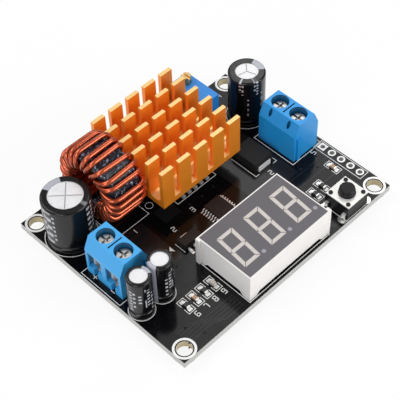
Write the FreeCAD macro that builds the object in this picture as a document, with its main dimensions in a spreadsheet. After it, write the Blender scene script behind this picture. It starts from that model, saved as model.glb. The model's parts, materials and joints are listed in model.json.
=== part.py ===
import FreeCAD, Part
import math
import os
from types import SimpleNamespace

import Sketcher

# Boost converter module: a 59 x 47 mm circuit board with a finned heatsink over its power transistor,
# a toroidal inductor, four electrolytic capacitors, two screw terminal blocks with rising clamps, a
# three-digit display, a push button and a multi-turn trimmer.
# Frame: X along the board's long side, in the display's reading direction, Y to the back, Z up.
# The origin is under the middle of the board, at the level of the trimmed lead tips. Millimetres.

DOC = FreeCAD.newDocument("boost_converter")
SHEET = DOC.addObject("Spreadsheet::Sheet", "size")
NODES = []
LEADS = []
Vector = FreeCAD.Vector

DIMENSIONS = {
    # board
    "board_len": 59.0, "board_wid": 47.0, "board_thick": 1.6, "lead_trim": 1.2,
    "mount_inset": 2.25, "mount_dia": 3.2,
    "header_pitch": 2.54, "header_bore": 1.0, "header_inset": 1.5, "header_first": 6.6,
    "hole_play": 0.15, "solder_lip": 0.35, "solder_slope": 0.28, "solder_tip": 0.3,
    # power transistor under the heatsink
    "power_x": 1.4, "power_back": 9.75,
    "power_len": 10.2, "power_wid": 8.9, "power_tall": 4.45, "power_draft": 0.35,
    "tab_len": 9.8, "tab_thick": 1.27, "tab_reach": 1.3, "tab_cover": 1.6,
    "lead_pitch": 1.7, "lead_wide": 0.8, "lead_thick": 0.5, "lead_exit": 2.4, "lead_reach": 4.8,
    "pad_thick": 0.15,
    # heatsink
    "sink_x": 1.45, "sink_back": 10.8,
    "sink_len": 21.6, "sink_wid": 20.5, "sink_tall": 10.0, "sink_floor": 1.3,
    "fin_len": 3.1, "fin_thick": 0.9, "channel_round": 1.2,
    # power diode
    "diode_x": 15.3, "diode_y": 1.9, "diode_wid": 5.0, "diode_len": 6.9, "diode_tall": 2.3,
    "diode_draft": 0.25, "diode_strip": 0.22, "diode_strip_wid": 3.4, "diode_foot": 1.2,
    # inductor
    "coil_room": 0.15, "coil_back": 8.95,
    "core_out": 7.7, "core_in": 5.0, "core_wid": 7.2, "core_edge": 1.0,
    "wire_dia": 1.05, "wire_gap": 0.1, "turn_spread": 1.09, "coil_lift": 0.1,
    # electrolytic capacitors
    "skin": 0.2, "skin_play": 0.02, "rim_round": 0.45, "cap_lead_dia": 0.6, "seal_thick": 1.3,
    "bead_low": 1.5, "bead_tall": 0.9, "bead_round": 0.55,
    "vent_wide": 0.22, "vent_deep": 0.12, "vent_margin": 0.3,
    "big_room": 0.25, "big_back": 9.75, "big_dia": 10.0, "big_tall": 12.6, "big_disc": 3.55,
    "big_gap": 5.0,
    "mid_side": 5.7, "mid_back": 11.9, "mid_dia": 8.0, "mid_tall": 13.0, "mid_disc": 2.45,
    "mid_gap": 3.5,
    "small_side": 2.75, "small_front": 14.25, "small_step": 5.35, "small_dia": 5.0,
    "small_tall": 11.0, "small_disc": 1.75, "small_gap": 2.0, "small_lead_dia": 0.5,
    # terminal blocks
    "block_inset": 1.7, "block_deep": 7.2, "block_tall": 10.0, "block_shoulder": 7.0,
    "block_top": 4.6, "pole_pitch": 5.0, "screw_shift": 0.1,
    "chamber_wide": 3.8, "chamber_back": 2.6, "chamber_front": 2.5,
    "ledge_low": 6.6, "ledge_thick": 0.7, "pocket_dia": 3.8,
    "mouth_wide": 3.7, "mouth_low": 1.9, "mouth_high": 6.3, "notch_wide": 1.1,
    "key_wide": 1.0, "key_deep": 0.35, "key_back": 2.4, "key_tall": 6.5, "key_play": 0.1,
    "key_short": 0.3, "probe_dia": 0.8, "probe_floor": 0.6, "probe_out": 0.5,
    "slit_wide": 0.3, "slit_deep": 0.6, "slit_margin": 0.5,
    "screw_head_dia": 3.5, "screw_head_tall": 1.3, "shank_dia": 2.5, "shank_play": 0.05,
    "shank_len": 3.6, "drive_wide": 0.5, "drive_deep": 0.7, "cross_long": 2.1, "edge_break": 0.3,
    "clamp_play": 0.1, "clamp_back": 1.8, "clamp_long": 4.1, "clamp_tall": 4.4, "clamp_wall": 0.5,
    "clamp_nut": 1.2, "clamp_sill": 0.6, "clamp_rest": 0.2,
    "strip_thick": 0.5, "strip_wide": 2.2, "tongue_thick": 0.6, "tongue_play": 0.05, "tongue_short": 1.3,
    "pin_wide": 0.9,
    # display
    "display_x": 0.0, "display_front": 7.85, "display_len": 22.4, "display_wid": 14.0,
    "display_tall": 7.2, "display_wall": 0.8, "display_well": 2.4,
    "display_ear": 0.5, "display_foot": 1.8, "display_arch": 0.9,
    "digit_step": 7.28, "digit_high": 8.5, "digit_wide": 4.2, "digit_x": -0.08, "digit_y": -0.25,
    "stroke": 0.8, "stroke_gap": 0.1, "bar_tip": 0.22, "digit_slant": 0.1, "dot_dia": 0.9,
    "dot_out": 2.68, "dot_down": 4.1,
    "inner_thick": 1.0, "resin_thick": 0.8, "display_pin_dia": 0.5, "display_rows": 10.16,
    # push button
    "button_side": 9.9, "button_front": 3.4, "button_wide": 6.0, "button_base": 3.3,
    "button_well_dia": 4.6, "button_floor": 2.0, "cover_thick": 0.25,
    "stem_dia": 3.5, "stem_top_dia": 3.2, "stem_tall": 5.1, "stem_play": 0.08,
    "stem_collar": 0.5, "stem_edge": 0.2,
    "flange_dia": 4.3, "flange_thick": 0.5, "rivet_dia": 0.9, "rivet_place": 2.3, "rivet_tall": 0.2,
    "dome_thick": 0.12, "dome_rise": 0.3, "dome_play": 0.1, "dome_rim": 0.2,
    "leg_wide": 0.7, "leg_thick": 0.3, "leg_step": 4.5, "leg_out": 0.3, "leg_high": 1.5,
    # trimmer
    "trimmer_x": 14.85, "trimmer_back": 5.35, "trimmer_wid": 4.8, "trimmer_len": 9.5,
    "trimmer_tall": 9.6, "trimmer_wall": 0.5, "trimmer_roof": 1.0, "trimmer_foot": 0.4,
    "trimmer_toe": 1.0,
    "adjuster_dia": 2.2, "adjuster_play": 0.05, "adjuster_rise": 1.8, "adjuster_x": 0.35,
    "adjuster_back": 1.9, "adjuster_edge": 0.15, "adjuster_slot": 0.6, "collar": 0.2, "collar_thick": 0.6,
    "worm_dia": 1.8, "worm_low": 2.4, "wheel_dia": 4.0, "wheel_thick": 1.2,
    "wheel_play": 0.1, "wheel_up": 4.8, "axle_dia": 1.0, "trimmer_base": 0.8, "trimmer_pin_dia": 0.5,
    # controller and amplifier
    "chip_lift": 0.1, "gull_thick": 0.15, "mould_foot": 0.1, "mould_draft": 0.15,
    "control_x": 0.7, "control_y": -3.8, "control_wid": 4.4, "control_len": 6.5,
    "control_tall": 1.1, "control_span": 6.4, "control_pitch": 0.65, "control_lead": 0.25,
    "amp_x": -9.05, "amp_y": -4.2, "amp_wid": 2.5, "amp_len": 4.5, "amp_tall": 1.5,
    "amp_pitch": 1.5, "amp_lead": 0.45, "amp_reach": 1.0, "amp_neck": 0.5,
    "amp_tab_wide": 1.65, "amp_tab_reach": 0.6, "amp_thick": 0.4, "amp_draft": 0.15,
    # chip parts
    "part_wid": 0.8, "part_mid": 1.0, "part_end": 0.3, "part_tall": 0.5, "lamp_base": 0.25,
    "row_front": 8.8, "row_first": -20.4, "row_step": 2.4,
    "near_side": 9.8, "near_front": 9.8, "next_side": 12.4, "next_front": 9.4,
    "edge_side": 4.4, "edge_front": 11.6,
}

HEADER_HOLES = 5
FIN_COLUMNS = 5
FIN_ROWS = 6
POWER_LEADS = 5
POLES = 2
DIGITS = 3
FRONT_PINS = 6
BACK_PINS = 5
CHIP_ROW = 4
CONTROL_LEADS = 10
COIL_GAP = 15.0
WIRE_SIDES = 8
VENT_TURN = 47.0
OVER = 1.0

# Places along a bent lead, as shares of its reach: where it starts down, and where it lands.
LEAD_KNEE = 0.25
LEAD_HEEL = 0.45


# Sizes

class Size:
    """A number with the sheet formula that it comes from."""

    def __init__(self, number, text=None):
        self.number = float(number)
        self.text = text or f"({self.number:.9g})"

    def __float__(self):
        return self.number

    def __add__(self, other):
        other = sized(other)
        return Size(self.number + other.number, f"({self.text} + {other.text})")

    def __sub__(self, other):
        other = sized(other)
        return Size(self.number - other.number, f"({self.text} - {other.text})")

    def __mul__(self, other):
        other = sized(other)
        return Size(self.number * other.number, f"({self.text} * {other.text})")

    def __truediv__(self, other):
        other = sized(other)
        return Size(self.number / other.number, f"({self.text} / {other.text})")

    def __neg__(self):
        return sized(0) - self

    def __radd__(self, other):
        return sized(other) + self

    def __rsub__(self, other):
        return sized(other) - self

    def __rmul__(self, other):
        return sized(other) * self


def sized(value):
    return value if isinstance(value, Size) else Size(value)


def fill_sheet():
    """Write each dimension into the sheet and return them by name."""
    for row, (name, number) in enumerate(DIMENSIONS.items(), start=1):
        SHEET.set(f"A{row}", name)
        SHEET.set(f"B{row}", str(number))
        SHEET.setAlias(f"B{row}", name)
    DOC.recompute()
    return SimpleNamespace(**{name: Size(SHEET.get(name), f"size.{name}") for name in DIMENSIONS})


def bind(thing, **sizes):
    for name, size in sizes.items():
        size = sized(size)
        setattr(thing, name, size.number)
        thing.setExpression(name, size.text)


def place(thing, x=0, y=0, z=0, turn=0):
    """Put a piece at a point, turned about the vertical."""
    x, y, z = sized(x), sized(y), sized(z)
    spin = FreeCAD.Rotation(Vector(0, 0, 1), turn)
    thing.Placement = FreeCAD.Placement(Vector(x.number, y.number, z.number), spin)
    for axis, size in (("x", x), ("y", y), ("z", z)):
        thing.setExpression(f"Placement.Base.{axis}", size.text)


def node(thing, label):
    """Name a finished piece, which is written to a file of the same name."""
    thing.Label = label
    NODES.append(thing)
    return thing


# Simple solids

def block(name, wide, deep, tall, x=0, y=0, z=0):
    """A box centred on x and y, with its foot at z."""
    solid = DOC.addObject("Part::Box", name)
    bind(solid, Length=wide, Width=deep, Height=tall)
    place(solid, sized(x) - sized(wide) / 2, sized(y) - sized(deep) / 2, z)
    return solid


def rod(name, radius, tall, x=0, y=0, z=0):
    solid = DOC.addObject("Part::Cylinder", name)
    bind(solid, Radius=radius, Height=tall)
    place(solid, x, y, z)
    return solid


def cone(name, low_radius, high_radius, tall, x=0, y=0, z=0):
    solid = DOC.addObject("Part::Cone", name)
    bind(solid, Radius1=low_radius, Radius2=high_radius, Height=tall)
    place(solid, x, y, z)
    return solid


def cut(name, base, tool):
    solid = DOC.addObject("Part::Cut", name)
    solid.Base = base
    solid.Tool = tool
    return solid


def fuse(name, *parts):
    solid = DOC.addObject("Part::MultiFuse", name)
    solid.Shapes = list(parts)
    return solid


def group(name, parts):
    """Several separate solids in one piece of the model."""
    solid = DOC.addObject("Part::Compound", name)
    solid.Links = list(parts)
    return solid


# Sketched bodies

def new_body(name):
    body = DOC.addObject("PartDesign::Body", name)
    body.AllowCompound = True
    return body


def origin(body, role):
    return next(item for item in body.Origin.OriginFeatures if item.Role == role)


def new_sketch(body, name, plane, lift=0):
    """An empty sketch on one of the body's own planes, raised above it by lift."""
    sketch = body.newObject("Sketcher::SketchObject", f"{body.Name}_{name}")
    sketch.AttachmentSupport = [(origin(body, plane), "")]
    sketch.MapMode = "FlatFace"
    lift = sized(lift)
    sketch.AttachmentOffset = FreeCAD.Placement(Vector(0, 0, lift.number), FreeCAD.Rotation())
    sketch.setExpression("AttachmentOffset.Base.z", lift.text)
    return sketch


def hold(sketch, kind, item, point, size, line):
    """Fix a point's distance from the sketch origin along one axis."""
    size = sized(size)
    if abs(size.number) < 1e-9:
        sketch.addConstraint(Sketcher.Constraint("PointOnObject", item, point, line))
        return
    ends = (-1, 1, item, point) if size.number > 0 else (item, point, -1, 1)
    index = sketch.addConstraint(Sketcher.Constraint(kind, *ends, abs(size.number)))
    sketch.setExpression(f"Constraints[{index}]", size.text if size.number > 0 else (-size).text)


def pin_point(sketch, item, point, x, y):
    hold(sketch, "DistanceX", item, point, x, -2)
    hold(sketch, "DistanceY", item, point, y, -1)


def arc_between(start, end, radius):
    """An arc that bulges to the right of its chord, or to the left where the radius is negative."""
    chord = end - start
    half = chord.Length / 2
    side = 1 if radius > 0 else -1
    normal = Vector(-chord.y, chord.x, 0).normalize() * side
    centre = (start + end) / 2 + normal * math.sqrt(max(radius * radius - half * half, 0))
    first, last = (start, end) if radius > 0 else (end, start)
    angles = [math.atan2(point.y - centre.y, point.x - centre.x) for point in (first, last)]
    if angles[1] < angles[0]:
        angles[1] += 2 * math.pi
    return Part.ArcOfCircle(Part.Circle(centre, Vector(0, 0, 1), abs(radius)), *angles)


def draw_outline(sketch, points, rounds=None):
    """A closed outline, anticlockwise; rounds maps a side's number to its bend radius."""
    rounds = rounds or {}
    count = len(points)
    spots = [Vector(float(x), float(y), 0) for x, y in points]
    heads, tails = [], []
    for side in range(count):
        start, end = spots[side], spots[(side + 1) % count]
        if side in rounds:
            radius = sized(rounds[side])
            item = sketch.addGeometry(arc_between(start, end, radius.number), False)
            index = sketch.addConstraint(Sketcher.Constraint("Radius", item, abs(radius.number)))
            sketch.setExpression(f"Constraints[{index}]", f"abs({radius.text})")
            heads.append((item, 1 if radius.number > 0 else 2))
            tails.append((item, 2 if radius.number > 0 else 1))
        else:
            item = sketch.addGeometry(Part.LineSegment(start, end), False)
            heads.append((item, 1))
            tails.append((item, 2))
    for side, (x, y) in enumerate(points):
        sketch.addConstraint(Sketcher.Constraint("Coincident", *tails[side - 1], *heads[side]))
        pin_point(sketch, *heads[side], x, y)
    return sketch


def draw_circle(sketch, radius, x=0, y=0):
    radius = sized(radius)
    circle = Part.Circle(Vector(float(x), float(y), 0), Vector(0, 0, 1), radius.number)
    item = sketch.addGeometry(circle, False)
    index = sketch.addConstraint(Sketcher.Constraint("Radius", item, radius.number))
    sketch.setExpression(f"Constraints[{index}]", radius.text)
    pin_point(sketch, item, 3, x, y)
    return sketch


def draw_box(sketch, wide, deep, x=0, y=0):
    left, right = sized(x) - sized(wide) / 2, sized(x) + sized(wide) / 2
    low, high = sized(y) - sized(deep) / 2, sized(y) + sized(deep) / 2
    return draw_outline(sketch, [(left, low), (right, low), (right, high), (left, high)])


def feature(body, kind, sketch, name):
    item = body.newObject(f"PartDesign::{kind}", f"{body.Name}_{name}")
    item.Profile = sketch
    return item


def pad(body, sketch, length, name="pad", both_ways=False):
    item = feature(body, "Pad", sketch, name)
    bind(item, Length=length)
    item.SideType = "Symmetric" if both_ways else "One side"
    return item


def pocket(body, sketch, length, name, upward=False):
    """Cut a sketch into the body, below its plane or, where upward is set, above it."""
    item = feature(body, "Pocket", sketch, name)
    bind(item, Length=length)
    item.Reversed = upward
    return item


def pocket_through(body, sketch, name):
    item = feature(body, "Pocket", sketch, name)
    item.Type = "ThroughAll"
    item.SideType = "Symmetric"
    return item


def revolve(body, sketch, name="turned", axis="V_Axis"):
    item = feature(body, "Revolution", sketch, name)
    item.ReferenceAxis = (sketch, [axis])
    item.Angle = 360
    return item


def repeat(body, features, axis, step, count, name):
    """Repeat features along one of the body's axes."""
    item = body.newObject("PartDesign::LinearPattern", f"{body.Name}_{name}")
    item.Originals = features
    item.Direction = (origin(body, axis), [""])
    item.Mode = "Spacing"
    bind(item, Offset=step)
    item.Occurrences = count
    body.Tip = item
    return item


def mirror(body, features, plane, name):
    item = body.newObject("PartDesign::Mirrored", f"{body.Name}_{name}")
    item.Originals = features
    item.MirrorPlane = (origin(body, plane), [""])
    body.Tip = item
    return item


def turned_body(name, points, rounds=None):
    """A body of revolution about the vertical from (radius, height) points."""
    body = new_body(name)
    revolve(body, draw_outline(new_sketch(body, "section", "XZ_Plane"), points, rounds))
    return body


S = fill_sheet()
DECK = S.lead_trim + S.board_thick
LEFT, RIGHT = S.board_len / -2, S.board_len / 2
FRONT, BACK = S.board_wid / -2, S.board_wid / 2


def round_lead(name, dia, x, y, top):
    """A lead from a height above the board down to the trimmed tips, with its hole and solder."""
    LEADS.append((sized(x), sized(y), dia / 2, None))
    return rod(name, dia / 2, DECK + top, x, y, 0)


def flat_lead(x, y, wide, deep):
    """Note the hole and the solder of a rectangular pin that another function makes."""
    LEADS.append((sized(x), sized(y), wide, deep))


def gull_wing(reach, exit_low, thick, start=0):
    """A lead's side view: level from its package at start, down a slope, then flat on the board."""
    knee, heel, tip = start + reach * LEAD_KNEE, start + reach * LEAD_HEEL, start + reach
    inward = thick * (0.5 if float(reach) < 0 else -0.5)
    return [
        (start, exit_low), (knee + inward, exit_low), (heel + inward, 0), (tip, 0), (tip, thick),
        (heel - inward, thick), (knee - inward, exit_low + thick), (start, exit_low + thick),
    ]


# Power stage

def make_transistor():
    front = BACK - S.power_back - S.power_wid / 2
    body = new_body("transistor_body")
    half = S.power_wid / 2
    mid = S.power_tall / 2
    side = [
        (-half, 0), (half, 0), (half, mid), (half - S.power_draft, S.power_tall),
        (S.power_draft - half, S.power_tall), (-half, mid),
    ]
    pad(body, draw_outline(new_sketch(body, "side", "YZ_Plane"), side), S.power_len, both_ways=True)
    seat = S.power_wid - S.tab_cover
    sketch = draw_box(new_sketch(body, "seat", "XY_Plane"), S.tab_len, seat, 0, half - seat / 2)
    pocket(body, sketch, S.tab_thick, "seat_cut", upward=True)
    place(body, S.power_x, BACK - S.power_back, DECK)
    node(body, "transistor_body")

    tab_deep = seat + S.tab_reach
    tab = block("transistor_tab", S.tab_len, tab_deep, S.tab_thick,
                S.power_x, front + S.tab_cover + tab_deep / 2, DECK)
    node(tab, "transistor_tab")

    leads = new_body("transistor_leads")
    bend = gull_wing(-S.lead_reach, S.lead_exit, S.lead_thick)
    sketch = draw_outline(new_sketch(leads, "bend", "YZ_Plane"), bend)
    strip = pad(leads, sketch, S.lead_wide, both_ways=True)
    repeat(leads, [strip], "X_Axis", S.lead_pitch, POWER_LEADS, "row")
    place(leads, S.power_x - S.lead_pitch * (POWER_LEADS - 1) / 2, front, DECK)
    node(leads, "transistor_leads")

    thermal = block("thermal_pad", S.power_len, S.power_wid - S.power_draft * 2, S.pad_thick,
                    S.power_x, BACK - S.power_back, DECK + S.power_tall)
    node(thermal, "thermal_pad")


def make_heatsink():
    """Fins in rows: round-bottomed channels along X, then flat cross cuts along Y."""
    body = new_body("heatsink")
    pad(body, draw_box(new_sketch(body, "plan", "XY_Plane"), S.sink_len, S.sink_wid), S.sink_tall)

    row_step = (S.sink_wid - S.fin_thick) / (FIN_ROWS - 1)
    near = S.sink_wid / -2 + S.fin_thick
    far = near + row_step - S.fin_thick
    bend, floor, over = S.channel_round, S.sink_floor, S.sink_tall + OVER
    channel = [
        (near, over), (near, floor + bend), (near + bend, floor),
        (far - bend, floor), (far, floor + bend), (far, over),
    ]
    sketch = draw_outline(new_sketch(body, "channel", "YZ_Plane"), channel, {1: bend, 3: bend})
    first = pocket_through(body, sketch, "channel_cut")
    repeat(body, [first], "Y_Axis", row_step, FIN_ROWS - 1, "channels")

    column_step = (S.sink_len - S.fin_len) / (FIN_COLUMNS - 1)
    gap = column_step - S.fin_len
    middle = S.sink_len / -2 + S.fin_len + gap / 2
    depth = S.sink_tall + OVER - floor
    sketch = draw_box(new_sketch(body, "cross", "XZ_Plane"), gap, depth, middle, floor + depth / 2)
    first = pocket_through(body, sketch, "cross_cut")
    repeat(body, [first], "X_Axis", column_step, FIN_COLUMNS - 1, "crosses")
    place(body, S.sink_x, BACK - S.sink_back, DECK + S.power_tall + S.pad_thick)
    node(body, "heatsink")


def make_diode():
    body = new_body("diode_body")
    half, foot = S.diode_len / 2, S.diode_strip
    mid = (S.diode_tall + foot) / 2
    side = [
        (-half, foot), (half, foot), (half, mid), (half - S.diode_draft, S.diode_tall),
        (S.diode_draft - half, S.diode_tall), (-half, mid),
    ]
    pad(body, draw_outline(new_sketch(body, "side", "YZ_Plane"), side), S.diode_wid, both_ways=True)
    place(body, S.diode_x, S.diode_y, DECK)
    node(body, "diode_body")

    ends = new_body("diode_terminals")
    end = [
        (-half - foot, 0), (S.diode_foot - half, 0), (S.diode_foot - half, foot), (-half, foot),
        (-half, mid), (-half - foot, mid),
    ]
    sketch = draw_outline(new_sketch(ends, "bend", "YZ_Plane"), end)
    strip = pad(ends, sketch, S.diode_strip_wid, both_ways=True)
    mirror(ends, [strip], "XZ_Plane", "pair")
    place(ends, S.diode_x, S.diode_y, DECK)
    node(ends, "diode_terminals")


# Inductor

def wire_solid(route, dia, sides):
    """A wire of flat-sided section along straight runs, mitred where they meet."""
    first = (route[1] - route[0]).normalize()
    aside = first.cross(Vector(1, 0, 0)) if abs(first.x) < 0.9 else first.cross(Vector(0, 1, 0))
    aside.normalize()
    upward = first.cross(aside)
    radius = dia / 2 / math.cos(math.pi / sides)
    ring = []
    for side in range(sides):
        angle = math.radians(360 / sides * (side + 0.5))
        across = aside * (radius * math.cos(angle)) + upward * (radius * math.sin(angle))
        ring.append(route[0] + across)
    faces = [Part.Face(Part.makePolygon(ring + ring[:1]))]
    for here in range(1, len(route)):
        run = (route[here] - route[here - 1]).normalize()
        mitre = run
        if here < len(route) - 1:
            mitre = (run + (route[here + 1] - route[here]).normalize()).normalize()
        ahead = []
        for point in ring:
            travel = (route[here] - point).dot(mitre) / run.dot(mitre)
            ahead.append(point + run * travel)
        for side in range(sides):
            after = (side + 1) % sides
            corners = [ring[side], ring[after], ahead[after], ahead[side], ring[side]]
            faces.append(Part.Face(Part.makePolygon(corners)))
        ring = ahead
    faces.append(Part.Face(Part.makePolygon(ring + ring[:1])))
    return Part.Solid(Part.Shell(faces))


def coil_half_width():
    return S.core_wid / 2 + S.wire_gap + S.wire_dia


def coil_x():
    """The coil stands just clear of the heatsink's left side."""
    return S.sink_x - S.sink_len / 2 - S.coil_room - coil_half_width()


def make_inductor():
    centre_y = BACK - S.coil_back
    reach = S.core_out + S.wire_gap + S.wire_dia
    centre_z = DECK + S.coil_lift + reach

    core = new_body("inductor_core")
    half, edge = S.core_wid / 2, S.core_edge
    section = [
        (-half, S.core_in + edge), (edge - half, S.core_in), (half - edge, S.core_in),
        (half, S.core_in + edge), (half, S.core_out - edge), (half - edge, S.core_out),
        (edge - half, S.core_out), (-half, S.core_out - edge),
    ]
    corners = {side: edge for side in (0, 2, 4, 6)}
    revolve(core, draw_outline(new_sketch(core, "section", "XZ_Plane"), section, corners), axis="H_Axis")
    place(core, coil_x(), centre_y, centre_z)
    node(core, "inductor_core")

    side = float(half + S.wire_gap + S.wire_dia / 2)
    outer = float(S.core_out + S.wire_gap + S.wire_dia / 2)
    inner = float(S.core_in - S.wire_gap - S.wire_dia / 2)
    turn_angle = float(S.wire_dia * S.turn_spread) / inner
    turns = int((2 * math.pi - math.radians(COIL_GAP)) / turn_angle + 0.01)
    route = []
    for turn in range(turns):
        angle = math.pi + (turn - (turns - 1) / 2) * turn_angle
        across, down = math.sin(angle), -math.cos(angle)
        corners = [(-side, outer), (side, outer), (side, inner), (-side, inner)]
        if turn == turns - 1:
            corners = corners[:2]
        route += [Vector(x, radius * across, radius * down) for x, radius in corners]
    tip = -float(centre_z)
    route.insert(0, Vector(route[0].x, route[0].y, tip))
    route.append(Vector(route[-1].x, route[-1].y, tip))
    corner = S.wire_dia / 2 / math.cos(math.pi / WIRE_SIDES)
    for end in (route[0], route[-1]):
        LEADS.append((coil_x() + end.x, centre_y + end.y, corner, None))
    winding = DOC.addObject("Part::Feature", "inductor_winding")
    winding.Shape = wire_solid(route, float(S.wire_dia), WIRE_SIDES)
    place(winding, coil_x(), centre_y, centre_z)
    node(winding, "inductor_winding")


# Capacitors

def cut_vents(can, top, disc, arms):
    """Scored lines that let the can's top open, from its middle outwards."""
    long, half = disc - S.vent_margin, S.vent_wide / 2
    for arm in range(arms):
        angle = math.radians(VENT_TURN + 360 / arms * arm)
        across, along = math.cos(angle), math.sin(angle)
        score = [
            (half * along, half * -across), (long * across + half * along, long * along - half * across),
            (long * across - half * along, long * along + half * across), (half * -along, half * across),
        ]
        sketch = draw_outline(new_sketch(can, f"vent_{arm}", "XY_Plane", top), score)
        pocket(can, sketch, S.vent_deep, f"vent_cut_{arm}")


def make_capacitor(prefix, plural, dia, tall, disc, lead_gap, lead_dia, x, y, step=None, vents=0):
    """A radial capacitor, or a pair a step apart: can, shrunk sleeve, rubber seal and leads."""
    names = [f"{prefix}_{part}" + ("s" if plural and part != "leads" else "")
             for part in ("can", "sleeve", "seal", "leads")]
    outer, inner = dia / 2, dia / 2 - S.skin
    can_outer = inner - S.skin_play
    top, bend, seal = tall - S.skin, S.rim_round, S.seal_thick

    low, high, bead = S.bead_low, S.bead_low + S.bead_tall, S.bead_round
    can = [
        (0, seal), (can_outer, seal), (can_outer, low), (can_outer, high), (can_outer, top - bend),
        (can_outer - bend, top), (0, top),
    ]
    sleeve = [
        (inner, 0), (outer, 0), (outer, low), (outer, high), (outer, tall - bend),
        (outer - bend, tall), (disc, tall), (disc, top + S.skin_play),
        (inner - bend, top + S.skin_play), (inner, top - bend), (inner, high), (inner, low),
    ]
    plug = [(0, S.skin), (can_outer, S.skin), (can_outer, seal), (0, seal)]
    profiles = [
        (can, {2: -bead, 4: bend}),
        (sleeve, {2: -bead, 4: bend, 8: -(bend + S.skin_play), 10: bead}),
        (plug, {}),
    ]
    for name, (points, rounds) in zip(names, profiles):
        body = turned_body(name, points, rounds)
        if points is can:
            cut_vents(body, top, disc, vents)
        if step is not None:
            repeat(body, [body.Tip], "X_Axis", step, 2, "pair")
        place(body, x, y, DECK)
        node(body, name)

    leads = []
    spots = [x] if step is None else [x, x + step]
    for middle in spots:
        for side in (-1, 1):
            leads.append(round_lead(f"{prefix}_lead_{len(leads)}", lead_dia, middle,
                                    y + lead_gap * side / 2, S.skin))
    node(group(names[3], leads), names[3])


# Terminal blocks

def block_side(turned):
    """The sign that takes a terminal block's own X to the board's."""
    return -1 if turned else 1


def make_housing(name, x, turned):
    body = new_body(name)
    half, top = S.block_deep / 2, S.block_top / 2
    side = [
        (-half, 0), (half, 0), (half, S.block_shoulder), (top, S.block_tall),
        (-top, S.block_tall), (-half, S.block_shoulder),
    ]
    wide = S.pole_pitch * POLES
    pad(body, draw_outline(new_sketch(body, "side", "XZ_Plane"), side), wide, both_ways=True)

    rib = draw_box(new_sketch(body, "rib", "XY_Plane"), S.key_wide - S.key_play, S.key_deep,
                   -S.key_back, (wide + S.key_deep) / -2)
    pad(body, rib, S.key_tall - S.key_short, "rib_pad")
    groove = draw_box(new_sketch(body, "groove", "XY_Plane"), S.key_wide, S.key_deep,
                      -S.key_back, (wide - S.key_deep) / 2)
    pocket(body, groove, S.key_tall, "groove_cut", upward=True)

    pole = S.pole_pitch / 2
    deep = S.chamber_front + S.chamber_back
    plan = draw_box(new_sketch(body, "chamber", "XY_Plane"), deep, S.chamber_wide,
                    S.chamber_front - deep / 2, pole)
    chamber = pocket(body, plan, S.ledge_low, "chamber_cut", upward=True)
    tall = S.mouth_high - S.mouth_low
    face = draw_box(new_sketch(body, "mouth", "YZ_Plane"), S.mouth_wide, tall,
                    pole, S.mouth_low + tall / 2)
    mouth = pocket(body, face, S.block_deep, "mouth_cut", upward=True)
    notch = draw_box(new_sketch(body, "notch", "YZ_Plane"), S.notch_wide, S.mouth_low,
                     pole, S.mouth_low / 2)
    notch = pocket(body, notch, S.block_deep, "notch_cut", upward=True)
    ledge = S.ledge_low + S.ledge_thick
    well = draw_circle(new_sketch(body, "well", "XY_Plane", S.block_tall),
                       S.pocket_dia / 2, S.screw_shift, pole)
    well = pocket(body, well, S.block_tall - ledge, "well_cut")
    bore = draw_circle(new_sketch(body, "bore", "XY_Plane", ledge),
                       S.shank_dia / 2 + S.shank_play, S.screw_shift, pole)
    bore = pocket(body, bore, S.ledge_thick, "bore_cut")
    probe = draw_circle(new_sketch(body, "probe", "XY_Plane", S.block_tall), S.probe_dia / 2,
                        -top - S.probe_out, pole)
    probe = pocket(body, probe, S.block_tall - S.block_shoulder - S.probe_floor, "probe_cut")
    mirror(body, [chamber, mouth, notch, well, bore, probe], "XZ_Plane", "second_pole")

    slit_long = S.block_top - S.slit_margin * 2
    slit = draw_box(new_sketch(body, "slit", "XY_Plane", S.block_tall), slit_long, S.slit_wide)
    pocket(body, slit, S.slit_deep, "slit_cut")
    place(body, x, 0, DECK, turn=180 if turned else 0)
    node(body, name)


def make_contacts(name, x, turned):
    """One strip a pole: a tongue inside the clamp, a back plate and a pin through the board."""
    body = new_body(name)
    back = -S.chamber_back
    high = tongue_top()
    low = high - S.tongue_thick
    tip = S.chamber_front - S.tongue_short
    side = [
        (back, 0), (back + S.strip_thick, 0), (back + S.strip_thick, low), (tip, low), (tip, high),
        (back, high),
    ]
    sketch = draw_outline(new_sketch(body, "side", "XZ_Plane"), side)
    strip = pad(body, sketch, S.strip_wide, both_ways=True)
    plan = draw_box(new_sketch(body, "pin", "XY_Plane"), S.strip_thick, S.pin_wide,
                    back + S.strip_thick / 2)
    pin = pad(body, plan, DECK, "pin_pad")
    pin.Reversed = True
    repeat(body, [strip, pin], "Y_Axis", S.pole_pitch, POLES, "poles")
    sign = block_side(turned)
    place(body, x, S.pole_pitch * (1 - POLES) * sign / 2, DECK, turn=180 if turned else 0)
    node(body, name)
    pin_x = x + (back + S.strip_thick / 2) * sign
    for pole in (-1, 1):
        flat_lead(pin_x, S.pole_pitch * pole / 2, S.strip_thick, S.pin_wide)


def clamp_window_top():
    return S.clamp_rest + S.clamp_tall - S.clamp_nut


def tongue_top():
    return clamp_window_top() - S.tongue_play


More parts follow.
